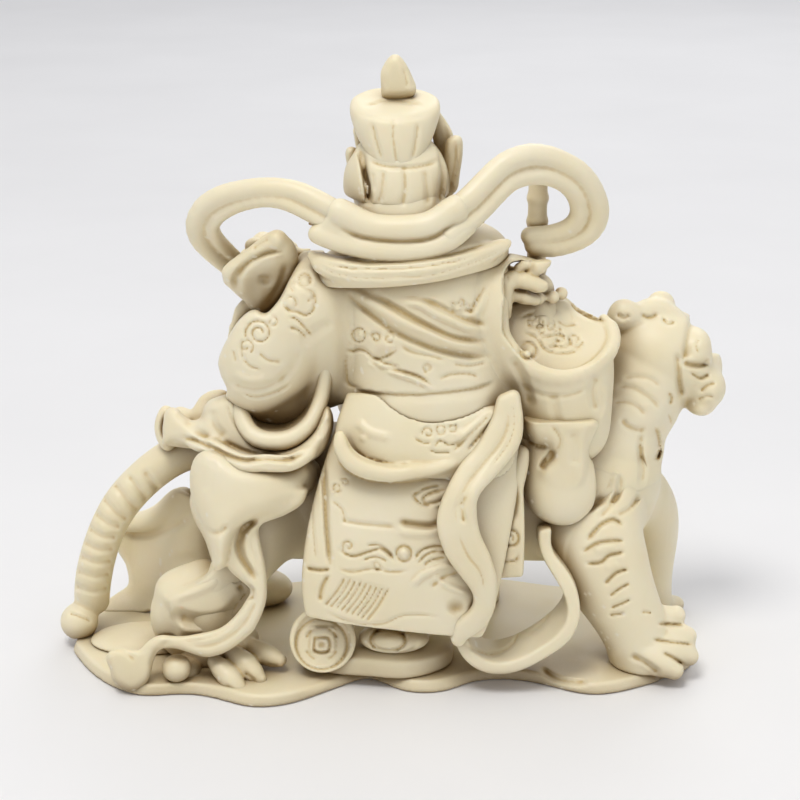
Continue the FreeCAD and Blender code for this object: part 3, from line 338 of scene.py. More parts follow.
    def carve(self, *strokes, view="photo", reach=2.6, threshold=0.1):
        """Moves the surface that faces the view: strokes say how deep, where."""
        near = np.nonzero((self.field > -reach) & (self.field < 1.0))
        inner = np.all([(k > 0) & (k < n - 1) for k, n in zip(near, self.count)], 0)
        near = tuple(k[inner] for k in near)
        places = (np.stack(near, 1) + self.first) * self.grain
        flat, sight = VIEWS[view](places)
        slope = np.stack([self.field[tuple(k + (axis == n) for n, k in enumerate(near))]
                          - self.field[tuple(k - (axis == n) for n, k in enumerate(near))]
                          for axis in range(3)], 1)
        slope /= np.maximum(np.linalg.norm(slope, axis=1, keepdims=True), 1e-6)
        facing = np.clip(((slope * sight).sum(1) - threshold) / TURN_AWAY, 0, 1)
        scale = PIXEL_MM if view == "photo" else 1.0
        some = facing > 0
        push = np.zeros(len(flat))
        amounts = np.zeros(some.sum())
        for stroke in strokes:
            stroke(flat[some], scale, amounts)
        push[some] = amounts
        self.field[near] += (push * facing).astype(np.float32)
        return self

    def mesh(self, name):
        """The surface as an object in metres, without crumbs."""
        grid = openvdb.FloatGrid(FAR)
        for axis in range(3):
            face = np.moveaxis(self.field, axis, 0)
            face[0], face[-1] = FAR, FAR
        grid.copyFromArray(np.ascontiguousarray(self.field))
        points, quads = grid.convertToQuads(0.0)
        points = (points + self.first) * self.grain
        label = np.arange(len(points))
        while True:
            before = label.copy()
            np.minimum.at(label, quads.ravel(), np.repeat(label[quads].min(1), 4))
            label = label[label]
            if (label == before).all():
                break
        names, sizes = np.unique(label, return_counts=True)
        keep = np.isin(label, names[sizes > CRUMB * sizes.max()])
        quads = quads[keep[quads[:, 0]]]
        index = np.cumsum(keep) - 1
        points, quads = points[keep], index[quads]
        a, b, c, d = (points[quads[:, k]] for k in range(4))
        if (np.cross(c - a, d - b) * (a + b + c + d)).sum() < 0:
            quads = quads[:, ::-1]
        data = bpy.data.meshes.new(name)
        data.from_pydata(points * MM, [], quads.tolist())
        data.shade_smooth()
        return bpy.data.objects.new(name, data)


def to_outline(points, outline):
    """Signed distance in the picture to a closed outline, below 0 inside."""
    best = np.full(len(points), 1e9)
    inside = np.zeros(len(points), bool)
    for a, b in zip(outline[:-1], outline[1:]):
        step = b - a
        rel = points - a
        t = np.clip((rel @ step) / max(step @ step, 1e-9), 0, 1)
        off = rel - t[:, None] * step
        best = np.minimum(best, (off * off).sum(1))
        rising = (a[1] > points[:, 1]) != (b[1] > points[:, 1])
        if step[1]:
            inside ^= rising & (rel[:, 0] < step[0] * rel[:, 1] / step[1])
    return np.sqrt(best) * np.where(inside, -1, 1)


# Each gives where places are in a view, and the direction to its eye


def from_camera(places):
    sight = VIEW_SPOT - places
    return pixels_of(places), sight / np.linalg.norm(sight, axis=1, keepdims=True)


def from_front(places):
    return places[:, [0, 2]], np.array((0.0, 1.0, 0.0))


VIEWS = {"photo": from_camera, "front": from_front}


def along(points, path, reach):
    """Distance to a path, the side of it, and which points are near enough to ask."""
    low, high = path.min(0) - reach, path.max(0) + reach
    some = np.nonzero(((points > low) & (points < high)).all(1))[0]
    best = np.full(len(some), 1e9)
    side = np.zeros(len(some))
    share = np.zeros(len(some))
    near = points[some]
    for index, (a, b) in enumerate(zip(path[:-1], path[1:])):
        step = b - a
        rel = near - a
        t = np.clip((rel @ step) / max(step @ step, 1e-9), 0, 1)
        off = rel - t[:, None] * step
        square = (off * off).sum(1)
        closer = square < best
        best = np.where(closer, square, best)
        side = np.where(closer, step[0] * rel[:, 1] - step[1] * rel[:, 0], side)
        share = np.where(closer, (index + t) / (len(path) - 1), share)
    return some, np.sqrt(best), np.sign(side), share


def drawn(points):
    """A smooth path, stepped for pixels, or for millimetres where it is short in numbers."""
    return flowing(points, 2.0 if np.ptp(points) > 60 else 0.8)


def line(points, width, depth, taper=0.15):
    """A groove (depth above 0) or a ridge (below 0) along a path; width is its half width."""
    path = drawn(points)
    width = max(width, NARROWEST)

    def stroke(flat, scale, amounts):
        some, off, _, share = along(flat, path, width / scale)
        off = np.clip(off * scale / width, 0, 1)
        fade = np.clip(np.minimum(share, 1 - share) / taper, 0, 1) if taper else 1
        amounts[some] += depth * (1 - off * off) ** 2 * fade
    return stroke


def step(points, drop, fade):
    """Cloth that lies under an edge: the surface on the path's right-hand side, as it is
    walked in the picture, sinks by drop and comes back over fade."""
    path = drawn(points)

    def stroke(flat, scale, amounts):
        some, off, side, share = along(flat, path, fade / scale)
        off = off * scale
        ends = np.clip(np.minimum(share, 1 - share) / STEP_TAPER, 0, 1)
        sunk = np.clip(off / STEP_EDGE, 0, 1) * np.clip(1 - off / fade, 0, 1) ** 1.5
        amounts[some] += np.where(side > 0, drop * sunk, 0) * ends
    return stroke


def dome(centre, radius, height, squash=1.0, turn=0.0):
    """A soft boss (height above 0) or dent."""
    c, s = math.cos(math.radians(turn)), math.sin(math.radians(turn))

    def stroke(flat, scale, amounts):
        rel = (flat - np.array(centre)) * scale
        u = (rel[:, 0] * c + rel[:, 1] * s) / radius
        v = (rel[:, 1] * c - rel[:, 0] * s) / (radius * squash)
        off = np.clip(np.sqrt(u * u + v * v), 0, 1)
        amounts -= height * (1 - off * off) ** 2
    return stroke


def curl(centre, radius, turns=1.2, start=0.0, hand=1, width=0.35, depth=0.3):
    """A spiral of a cloud or a wave; the radius is in the view's own units."""
    points = []
    for k in range(int(turns * CURL_POINTS) + 1):
        angle = math.radians(start) + hand * k / CURL_POINTS * 2 * math.pi
        reach = radius * (1 - 0.8 * k / (turns * CURL_POINTS))
        points.append((centre[0] + reach * math.cos(angle), centre[1] + reach * math.sin(angle)))
    return line(points, width, depth, taper=0.05)


def cloud(centre, size, depth, flip=1):
    """A little scrolled cloud: three curls over a trailing tail."""
    x, y = centre

    def place(u, v):
        return x + u * flip * size, y + v * size
    return [curl(place(-0.45, 0.05), 0.30 * size, 1.1, 200, 1, 0.3, depth),
             curl(place(0.12, -0.22), 0.34 * size, 1.2, 240, 1, 0.3, depth),
             curl(place(0.55, 0.12), 0.26 * size, 1.1, 280, 1, 0.3, depth),
             line([place(-0.75, 0.3), place(-0.2, 0.42), place(0.3, 0.36), place(0.8, 0.42),
                   place(1.15, 0.3)], 0.3, depth),
             line([place(-0.1, 0.62), place(0.35, 0.58), place(0.7, 0.66)], 0.26, depth * 0.8)]


def block(*nodes, pad=2.5, grain=GRAIN):
    """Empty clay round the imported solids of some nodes."""
    boxes = np.array([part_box(node) for node in nodes]) / MM
    return Clay(boxes[:, 0].min(0) - pad, boxes[:, 1].max(0) + pad, grain)


def sculpt(*nodes, passes=2, pad=2.5, grain=GRAIN):
    """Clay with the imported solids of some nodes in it, softened."""
    return block(*nodes, pad=pad, grain=grain).take(*nodes).soften(passes)


def show(clay, *nodes):
    """Puts the clay into the scene, in place of those nodes."""
    clay.trim((0, 0, UNDERSIDE), (0, 0, -1))
    piece = clay.mesh("carved_" + nodes[0])
    piece.data.materials.append(resin)
    bpy.context.scene.collection.objects.link(piece)
    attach(piece, "root")
    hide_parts(*nodes)
    return clay


def ring(centre, radius, width=0.35, depth=0.3, squash=1.0, first=0.0, last=360.0):
    """A groove round a centre, or a part of one."""
    turns = np.radians(np.linspace(first, last, 25))
    points = np.stack((centre[0] + radius * np.cos(turns), centre[1] + radius * squash * np.sin(turns)), 1)
    return line(points, width, depth, taper=0.0 if last - first > 359 else 0.15)


# The materials


def new_material(name):
    material = bpy.data.materials.new(name)
    material.use_nodes = True
    nodes = material.node_tree.nodes
    shader = next(node for node in nodes if node.type == "BSDF_PRINCIPLED")
    return material, nodes, material.node_tree.links, shader


def noise(nodes, links, scale, detail=4.0, stretch=(1, 1, 1)):
    place = nodes.new("ShaderNodeTexCoord")
    mapping = nodes.new("ShaderNodeMapping")
    mapping.inputs["Scale"].default_value = stretch
    texture = nodes.new("ShaderNodeTexNoise")
    texture.inputs["Scale"].default_value = scale
    texture.inputs["Detail"].default_value = detail
    links.new(place.outputs["Object"], mapping.inputs["Vector"])
    links.new(mapping.outputs["Vector"], texture.inputs["Vector"])
    return texture


def ramp(nodes, links, source, stops):
    node = nodes.new("ShaderNodeValToRGB")
    elements = node.color_ramp.elements
    for index, (place, colour) in enumerate(stops):
        element = elements[index] if index < 2 else elements.new(place)
        element.position, element.color = place, (*colour, 1)
    links.new(source, node.inputs["Fac"])
    return node


def mix(nodes, links, kind, first, second, share):
    node = nodes.new("ShaderNodeMix")
    node.data_type, node.blend_type = "RGBA", kind
    for socket, value in ((node.inputs["A"], first), (node.inputs["B"], second),
                          (node.inputs["Factor"], share)):
        if isinstance(value, (int, float)):
            socket.default_value = value
        elif isinstance(value, tuple):
            socket.default_value = (*value, 1)
        else:
            links.new(value, socket)
    return node.outputs["Result"]


def make_resin():
    """Cream resin with a warm patina left in its carved lines, and painted shade, a dark warm brown, in its
    deep hollows.
    """
    material, nodes, links, shader = new_material("ivory_resin")
    tone = ramp(nodes, links, noise(nodes, links, 60.0).outputs["Fac"],
                [(0.30, (0.87, 0.77, 0.52)), (0.70, (0.91, 0.83, 0.62))])
    shape = nodes.new("ShaderNodeNewGeometry")
    hollow = ramp(nodes, links, shape.outputs["Pointiness"],
                  [(0.41, (0.40, 0.27, 0.10)), (0.492, (1.0, 1.0, 1.0)), (0.56, (1.0, 1.0, 1.0))])
    hollow.color_ramp.elements.new(0.455).color = (0.80, 0.68, 0.44, 1)
    worn = ramp(nodes, links, shape.outputs["Pointiness"],
                [(0.53, (0, 0, 0)), (0.66, (0.5, 0.5, 0.5))])
    # Painted shade: an occlusion test darkens the colour towards brown where the forms close in, under
    # folds and in deep hollows, standing in for the shade that falls there; it deepens the patina of those
    # hollows too.
    shade = nodes.new("ShaderNodeAmbientOcclusion")
    shade.samples = 8
    shade.inputs["Distance"].default_value = 0.010
    deep = ramp(nodes, links, shade.outputs["AO"],
                [(0.15, (0.30, 0.20, 0.08)), (0.90, (1.0, 1.0, 1.0))])
    colour = mix(nodes, links, "MULTIPLY", tone.outputs["Color"], hollow.outputs["Color"], 0.9)
    # Multiplies the painted shade of the deep hollows into the colour.
    colour = mix(nodes, links, "MULTIPLY", colour, deep.outputs["Color"], 0.9)
    pale = mix(nodes, links, "MIX", colour, (0.93, 0.89, 0.79), worn.outputs["Color"])
    links.new(pale, shader.inputs["Base Color"])
    gloss = ramp(nodes, links, noise(nodes, links, 220.0).outputs["Fac"],
                 [(0.3, (0.36, 0.36, 0.36)), (0.7, (0.50, 0.50, 0.50))])
    links.new(gloss.outputs["Color"], shader.inputs["Roughness"])
    shader.inputs["Subsurface Weight"].default_value = 0.25
    shader.inputs["Subsurface Radius"].default_value = (1.0, 0.75, 0.45)
    shader.inputs["Subsurface Scale"].default_value = 0.0012
    shader.inputs["IOR"].default_value = 1.5
    bump = nodes.new("ShaderNodeBump")
    bump.inputs["Strength"].default_value = 0.10
    bump.inputs["Distance"].default_value = 0.0002
    links.new(noise(nodes, links, 900.0, 6.0).outputs["Fac"], bump.inputs["Height"])
    links.new(bump.outputs["Normal"], shader.inputs["Normal"])
    return material


def make_wood():
    material, nodes, links, shader = new_material("dowel_wood")
    grain = noise(nodes, links, 300.0, 6.0, (1, 1, 0.1))
    tone = ramp(nodes, links, grain.outputs["Fac"], [(0.35, (0.52, 0.35, 0.19)), (0.7, (0.74, 0.57, 0.37))])
    links.new(tone.outputs["Color"], shader.inputs["Base Color"])
    shader.inputs["Roughness"].default_value = 0.6
    bump = nodes.new("ShaderNodeBump")
    bump.inputs["Strength"].default_value = 0.2
    bump.inputs["Distance"].default_value = 0.0002
    links.new(grain.outputs["Fac"], bump.inputs["Height"])
    links.new(bump.outputs["Normal"], shader.inputs["Normal"])
    return material


make_camera()
resin = make_resin()
wood = make_wood()
for node in frame["nodes"].values():
    for slot in node.material_slots:
        slot.material = wood if "dowels" in node.name or "pins" in node.name else resin


# The hat

clay = block("hat_finial").sheet([(380.7, 83.3), (380.5, 72), (384, 64), (388.5, 57), (393, 53.9),
    (397.5, 54), (402, 58), (407, 65), (411, 73), (414.5, 81), (416.5, 88), (414, 96), (400, 100),
    (383, 98)], -1.0, 1.9, 1.9, blend=0.2)
clay.soften(1).carve(line([(403, 68), (406, 77), (407, 88)], 0.35, 0.35),
    line([(409, 70), (412, 78), (413, 88)], 0.3, 0.3),
    line([(388, 64), (385.5, 74), (386, 88)], 0.3, 0.15))
show(clay, "hat_finial")

clay = block("hat_crown", pad=4.0)
clay.tube(seen([(400, 172, -8.5, 1.5, 1.5), (397, 150, -7.0, 4.45, 3.0), (396, 133, -5.5, 5.9, 4.5),
    (395, 118, -4.0, 7.05, 5.5), (395, 107, -3.0, 7.6, 6.0), (395, 98, -2.4, 7.9, 6.4)]), flat=(0, 1, 0),
    blend=0.3)
clay.egg(at(374, 93, 1.0), (1.6, 2.4, 1.5), blend=1.0)
clay.trim((0, 3.0, 103.2), (0, -0.225, 1), 1.6)
clay.sheet([(436, 107.5), (443, 116), (450, 127), (453.5, 136), (452, 150), (447, 170), (441, 180),
    (436, 160), (432, 135), (428, 118)], 0.8, 1.1, 0.9, blend=0.5)
clay.sheet([(352, 125), (357, 129), (363, 137), (368, 152), (362, 160), (356.5, 150), (354, 138)], 0.8,
    1.0, 0.8, blend=0.5)
clay.soften(1).carve(line([(394, 118), (393, 136), (396, 158), (399, 172)], 0.5, 0.3),
    line([(356, 113), (375, 118), (395, 119.5), (415, 118), (433, 112)], 0.5, 0.12),
    line([(441, 117), (447, 135), (445, 160)], 0.4, 0.25),
    line([(372, 122), (376, 140), (382, 160)], 0.6, 0.35),
    line([(418, 122), (416, 140), (412, 160)], 0.6, 0.35),
    line([(362, 108), (392, 101), (425, 106)], 0.6, 0.3))
show(clay, "hat_crown")

clay = block("hat_cap", pad=3.0)
clay.take("hat_cap").tube(seen([(402, 176, -6.0, 7.3, 4.6), (402, 190, -6.5, 6.9, 4.4)]), flat=(0, 1, 0),
    blend=1.5)
HAIR = [line([(361, 148), (365, 172), (368, 190), (369, 206)], 1.0, 1.0),
    line([(441, 148), (443, 172), (441, 190), (439, 206)], 0.9, 0.9),
    line([(384, 168), (382, 188), (378, 206)], 0.9, 0.35),
    line([(404, 166), (405, 188), (402, 208)], 0.8, 0.4),
    line([(424, 168), (427, 188), (428, 206)], 0.9, 0.35), line([(372, 172), (374, 190)], 0.6, 0.3),
    line([(366, 160), (384, 166), (404, 168), (424, 166), (441, 160)], 0.7, 0.4)]
clay.soften(2).carve(*HAIR)
show(clay, "hat_cap")

HEAD = block("head", pad=3.0).take("head")
HEAD.tube(seen([(402, 188, -6.0, 6.9, 4.4), (402, 204, -7.0, 6.5, 4.2), (402, 222, -8.6, 7.5, 3.6)]),
    flat=(0, 1, 0), blend=1.5)
FACE_X, EYES_Z = -0.6, 85.6
HEAD.egg((FACE_X, 7.6, EYES_Z - 2.3), (0.95, 1.5, 1.9), blend=0.9)          # nose
for side in (-1, 1):
    HEAD.egg((FACE_X + side * 2.5, 6.6, EYES_Z - 3.2), (1.6, 1.5, 1.5), blend=1.2)
    HEAD.egg((FACE_X + side * 6.6, 1.4, EYES_Z - 1.2), (0.8, 1.2, 2.0), blend=0.5)
HEAD.soften(2).carve(*HAIR)


def on_face(side, *places):
    """Places on the face, so far outwards and up from the middle between its eyes."""
    return [(FACE_X + side * x, EYES_Z + z) for x, z in places]


for side in (-1, 1):
    HEAD.carve(line(on_face(side, (1.1, 0), (2.4, -0.35), (3.8, 0.1)), 0.45, 0.45),
        dome(on_face(side, (2.4, 0.35))[0], 1.2, 0.25, 0.6),
        line(on_face(side, (0.9, 1.5), (2.5, 2.2), (4.2, 1.5)), 0.5, -0.35),
        line(on_face(side, (0.5, -4.9), (1.8, -5.3), (3.2, -7.0)), 0.6, -0.55),
        *[line(on_face(side, (a, -6.2), (b, -9.5), (c, -13.0)), 0.46, 0.5) for a, b, c in (
            (0.5, 0.5, 0.3), (1.6, 1.6, 1.0), (2.8, 2.6, 1.8), (3.9, 3.6, 2.8))], view="front")
HEAD.carve(line(on_face(1, (-1.2, -5.9), (0, -6.1), (1.2, -5.9)), 0.46, 0.5), view="front")
show(HEAD, "head")

clay = block("hat_flap_right", pad=2.5).sheet([(453.8, 134.9), (460.8, 135.6), (462.8, 140.7),
    (462.8, 154.7), (460.2, 172.6), (457.7, 189.1), (450.6, 196.8), (447.4, 205.7), (441, 205),
    (441, 191.7), (443.6, 154.7), (446, 140)], -2.3, 1.3, 1.1, blend=0.2)
clay.soften(1).carve(line([(456, 142), (455, 165), (449, 195)], 0.5, 0.35),
    line([(448, 150), (446, 175), (444, 198)], 0.35, 0.2))
show(clay, "hat_flap_right")
clay = block("hat_flap_left", pad=2.5).sheet([(346.7, 147), (355.6, 146.4), (356.5, 152), (360, 165),
    (364, 185), (366.5, 205.7), (364.5, 204), (359, 197), (352.4, 189.1), (349.2, 177.7), (345.2, 154.7)],
    -2.3, 1.3, 1.1, blend=0.2)
clay.soften(1).carve(line([(351, 152), (354, 170), (359, 192)], 0.5, 0.35),
    line([(360, 172), (364, 190)], 0.35, 0.2))
show(clay, "hat_flap_left")

# The ribbon round the neck and its two loops

LEFT_OUTER = seen([(345, 216, -11.5), (316, 200, -10), (294, 191, -8.5), (267, 188, -7), (240, 191, -5.5),
    (219, 197, -4.5), (203, 208, -3.5), (196, 223, -2.5), (199, 237, -1), (208, 248, 0.5), (222, 260, 2),
    (232, 268, 3)])
LEFT_INNER = seen([(330, 226, -11.5), (305, 212, -10), (285, 203, -8.7), (266, 200, -7.3),
    (248, 202.5, -6), (232, 208, -5), (218, 217, -4), (212, 226, -3), (217, 238, -1.5), (228, 250, 0.5),
    (238, 260, 2.5)])
clay = block("shawl_loop_left", pad=3.0)
clay.tube([(*row, 1.75) for row in LEFT_OUTER], blend=0.3).ruled(LEFT_OUTER, LEFT_INNER, 0.85)
clay.tube([(*row, 1.2) for row in LEFT_INNER], blend=0.3)
show(clay.soften(1), "shawl_loop_left")

RIGHT_OUTER = seen([(452, 212, -12), (468, 199, -11), (483, 184, -9.5), (498, 169, -8), (512, 160, -7),
    (530, 155, -6), (548, 157, -5), (563, 163, -4.3), (577, 171, -3.8), (588, 183, -3.2),
    (595, 197, -2.6), (598, 210, -2), (595, 224, -1.5), (585, 235, -1.2), (570, 242, -1), (552, 246, -1),
    (535, 245, -1.2)])
RIGHT_INNER = seen([(450, 236, -13), (467, 224, -11.5), (482, 210, -10), (497, 194, -8.5),
    (510, 182, -7.3), (525, 176, -6.3), (543, 175, -5.3), (558, 179, -4.5), (570, 187, -3.9),
    (578, 199, -3.2), (580, 211, -2.6), (575, 223, -2), (563, 231, -1.6), (547, 235, -1.4),
    (530, 236, -1.5)])
clay = block("shawl_loop_right", pad=3.0)
clay.tube([(*row, 1.9) for row in RIGHT_OUTER], blend=0.3).ruled(RIGHT_OUTER, RIGHT_INNER, 0.9)
clay.tube([(*row, 1.65) for row in RIGHT_INNER], blend=0.3)
show(clay.soften(1), "shawl_loop_right")

clay = block("shawl_band", pad=4.0)
UPPER = seen([(340, 212, -11.5), (370, 226.5, -12.3), (400, 229, -12.8), (430, 225, -12.5),
    (456, 208, -11.8)])
LOWER = seen([(318, 234, -11.5), (345, 244, -12.3), (372, 250, -13.2), (400, 252, -13.6),
    (428, 249, -13.3), (450, 240, -13), (467, 226, -11.5)])
clay.tube([(*row, 2.3) for row in UPPER], blend=0.3).ruled(UPPER, LOWER, 1.3)
clay.tube([(*row, 1.7) for row in LOWER], blend=0.3)
clay.soften(1).carve(line([(338, 228), (363, 237), (400, 241), (433, 237), (460, 219)], 0.7, 0.5))
show(clay, "shawl_band")

# The figure's back

MOUTH = [(503, 300), (502, 330), (509, 343), (520, 357), (535, 368), (551, 374), (569, 375), (584, 370),
    (598, 361), (609, 350), (613, 338), (610, 327), (602, 320), (588, 317), (576, 310), (567, 300),
    (562, 282), (548, 270), (530, 262), (512, 262), (503, 275)]


def mouth_plane(x, z):
    return -9.2 + (0.75 + 0.6 * np.clip((x - 25.0) / 5.0, 0, 1)) * (z - 56.6)


TORSO = sculpt("torso")
TORSO.sheet(MOUTH, lambda x, z: mouth_plane(x, z) - 9.0, 9.0, SHARP, blend=0.5, cut=True)
CAPE_LOWER = [(312, 256), (316, 265), (335.5, 275.7), (370, 280.6), (398, 279.9), (433, 277),
    (475, 264.5), (502, 251.8), (510, 242)]
clay = block("shoulder_cape").take("shoulder_cape")
clay.tube(seen([(313, 256, -9.5, 1.0), (322, 263, -11, 1.5), (340, 269, -12.6, 1.7),
    (370, 273, -13.6, 1.7), (400, 272.5, -14, 1.7), (433, 269, -14, 1.6), (462, 262, -12.5, 1.4),
    (488, 252, -10.5, 1.2), (508, 243, -9.0, 0.7)]), blend=1.2)
clay.soften(1)
clay.carve(step(CAPE_LOWER[::-1], 0.4, 2.0),
    line([(318, 259), (336.5, 266.6), (370, 269.5), (412, 268), (454, 261.7), (480, 253)], 0.35, 0.35),
    line([(314, 248), (356, 261), (390, 262), (426, 259.6), (468, 249.7), (500, 241)], 0.6, 0.45),
    line([(330, 262), (370, 275), (412, 274)], 0.3, 0.12))
show(clay, "shoulder_cape")

TORSO_STROKES = [
    # the sash: two raised folds with hollows between
    line([(346, 292), (370, 313), (395, 331), (419, 342.5), (440, 350), (468, 355.5), (492, 356)], 1.0,
        0.9),
    line([(347.7, 288), (374.4, 305), (398.2, 320), (419.3, 330), (440.3, 338), (461.4, 345),
        (485.2, 347)], 1.3, -0.75),
    line([(372, 292), (398, 309), (426, 325), (454, 338), (488, 341)], 0.9, 0.7),
    line([(398, 302), (419, 304), (434.7, 313), (454.3, 321.5), (468.4, 328), (488, 331.5)], 1.1, -0.7),
    line([(420, 298), (440, 306), (462, 318), (490, 325)], 0.8, 0.5),
    # the cloud at the right and the fold beside it
    *cloud((459, 306), 13, 0.35), line([(474, 319), (484, 300), (494, 284)], 1.2, -0.6),
    line([(468, 316), (478, 298), (488, 282)], 0.5, 0.35),
    # the cloud under the sash, its ring, and the folds that run from it
    ring((359, 335), 6.5, 0.45, 0.5), ring((359, 335), 2.6, 0.3, 0.3), dome((360, 335), 2.2, 0.5),
    dome((385, 345), 2.2, 0.6), dome((393, 338), 1.2, 0.4), curl((376, 338), 5.5, 1.2, 180, 1, 0.35, 0.4),
    curl((389, 338), 6.5, 1.3, 250, 1, 0.35, 0.4),
    line([(345, 349), (352, 351), (360, 349), (367, 352), (374, 358), (384, 357), (398, 350)], 0.5, 0.5),
    line([(367, 358), (380, 368), (398, 371), (418, 377), (434, 388)], 0.6, 0.6),
    line([(367, 362), (398, 373.5), (419, 380.5), (435, 390)], 0.8, -0.6),
    line([(372, 355), (385, 363), (400, 367)], 0.35, 0.35),
    line([(399, 345), (412, 352), (430, 356), (446, 360)], 0.7, 0.35),
    # the crease beside the arm and the jacket's own hem
    line([(338, 300), (334, 330), (333, 352), (337, 385)], 1.4, 0.9),
    line([(345, 351), (346, 370), (349, 384), (362, 389)], 0.5, 0.35),
    step([(349, 388), (380, 391.5), (415, 392.5), (435, 391), (470, 387), (495, 380)], 0.8, 2.5),
    line([(438, 380), (450, 375), (468, 374), (480, 378)], 0.6, 0.35),
    curl((428, 368), 5, 1.2, 90, 1, 0.35, 0.3), line([(452, 364), (470, 366), (488, 362)], 0.6, 0.3)]
TORSO.carve(*TORSO_STROKES)
TORSO.carve(line([(-9, 74), (-3, 66), (3, 58), (6, 52)], 0.8, 0.6),
    line([(10, 74), (5, 68), (1, 61.5)], 0.8, 0.6),
    line([(-11, 71), (-5.5, 63), (0, 55.5), (3, 51)], 1.0, -0.5),
    line([(12.5, 71), (8, 65), (4, 59)], 1.0, -0.5),
    line([(-10, 50.5), (-2, 48.8), (8, 48.8), (18, 50.8)], 0.6, 0.7),
    line([(-10, 53.2), (-2, 51.8), (8, 51.8), (18, 53.6)], 0.6, 0.7), ring((5, 50.3), 2.6, 0.5, 0.6),
    dome((5, 50.3), 1.2, 0.5),
    *[line([(x, 62), (x * 0.9 + 0.5, 57), (x * 0.8 + 1, 54)], 0.9, 0.4) for x in (-8, -5, 9.5, 13)],
    curl((-6.5, 60), 2.2, 1.3, 0, 1, 0.46, 0.4), curl((12.5, 61), 2.2, 1.3, 180, -1, 0.46, 0.4),
    view="front")
show(TORSO, "torso")

# The raised left arm

CUFF = [(223.8, 277.8), (224.3, 272.3), (229.2, 266.9), (240, 259.3), (248.7, 253.9), (258, 247),
    (266, 240), (269.3, 233.3), (276.9, 231.7), (284.5, 235.5), (289.9, 242), (293, 252), (296, 262),
    (294.3, 268), (290, 280), (279.1, 300.5), (261.7, 316.8), (252, 310), (245.5, 302.7), (235.7, 294),
    (227, 285.3)]
LEFT_SLEEVE = block("left_sleeve", pad=4.0).take("left_sleeve")
LEFT_SLEEVE.sheet([(180, 225), (302, 225), (299, 256), (296, 268), (291, 280), (281, 300.5), (266, 316),
    (254, 311), (240, 322), (229, 340), (221, 356), (219.5, 365), (222, 376), (228, 392), (205, 395),
    (180, 380)], -6.0, 18.0, SHARP, blend=2.2, cut=True)
LEFT_SLEEVE.egg(at(285, 396, -1.0), (7.6, 5.5, 5.0), tilt=-15, blend=3.0)
LEFT_SLEEVE.tube(
    seen([(318, 300, -8, 3.2), (327, 330, -7, 3.0), (330, 360, -5, 2.6), (328, 392, -4, 2.2)]), blend=3.0)
LEFT_SLEEVE.soften(3)
LEFT_SLEEVE.weld(TORSO, 2.2)
LEFT_SLEEVE.carve(line([(300, 345), (318, 330), (332, 322)], 1.6, 0.3),
    # a raised cloud and the strokes that trail from it
    dome((299, 292), 3.6, 0.5, 1.1, 60), ring((290, 303), 6, 0.35, 0.35), ring((305, 280), 6, 0.35, 0.35),
    ring((308, 295), 5.5, 0.35, 0.35, 1.0, -120, 120), ring((295, 286), 5, 0.35, 0.35, 1.0, 90, 300),
    line([(283, 304), (289, 311), (297, 312), (306, 315), (314, 308), (316, 288)], 0.5, 0.45),
    line([(288, 317), (296, 319), (304, 327), (312, 336)], 0.5, 0.45),
    line([(288, 327), (298, 330), (307, 338)], 0.5, 0.45),
    # a ring with a small one beside it, and a curl below
    curl((259, 333), 14, 1.7, 150, 1, 0.46, 0.45), curl((246, 346), 8, 1.2, 60, -1, 0.46, 0.4),
    curl((272, 322), 6, 1.2, 250, 1, 0.46, 0.35),
    line([(240, 345), (243, 357), (250, 366), (262, 370)], 0.5, 0.35),
    line([(258, 352), (268, 360), (282, 362)], 0.5, 0.35), line([(233, 350), (236, 362)], 0.5, 0.3),
    # the crease over the elbow
    line([(229, 378), (236, 384), (248, 388), (262, 388), (276, 382), (290, 370)], 1.0, 0.4),
    line([(233, 372), (244, 379), (258, 380), (268, 376)], 0.9, -0.3),
    line([(240, 392), (256, 397), (276, 392), (292, 383)], 0.5, 0.35),
    line([(300, 350), (292, 368), (278, 384)], 1.2, 0.2))
show(LEFT_SLEEVE, "left_sleeve")

clay = block("left_cuff", pad=9.0)
clay.sheet(CUFF, lambda x, z: -1.0 - 0.36 * (z - 62.0), 3.2, 5.0, blend=0.2)
clay.tube(seen([(229, 280, -4.5, 0.9), (230, 272, -5.2, 1.1), (243, 262, -6.2, 1.2),
    (258, 251, -7.0, 1.2), (270, 242, -7.6, 1.2), (278, 238, -8.0, 1.1), (287, 247, -7.4, 1.1),
    (291, 260, -6.4, 1.0), (288, 276, -5.2, 0.9)]), blend=1.0)
clay.sheet([(245.5, 252), (244.5, 243.1), (250.9, 237.6), (258, 237.5), (265, 240), (268, 250),
    (262, 262), (250, 262)], 2.6, 1.3, 1.3, blend=0.8)
clay.sheet([(289.9, 242), (296.4, 246.3), (301.8, 248.5), (311.6, 248.5), (309, 256), (300, 259.5),
    (290, 262), (284, 252)], 0.5, 1.3, 1.3, blend=0.8)
clay.tube(seen([(240, 262, 7, 1.0), (255, 250, 8.5, 1.2), (275, 243, 8, 1.2), (292, 247, 5, 1.0)]),
    blend=0.8)
clay.ruled(seen([(240, 264, 7), (255, 252, 8.5), (275, 245, 8), (292, 250, 5)]),
    seen([(256, 305, 4), (262, 308, 5), (268, 306, 5), (278, 295, 4)]), 1.0, blend=0.6)
clay.tube(seen([(252, 306, -0.5, 1.0), (246, 307, -0.5, 1.3), (242, 312, -0.2, 1.3), (238, 318, 0, 0.9),
    (234, 328, 0, 0.8), (230, 340, 0, 0.6)]), blend=0.5)
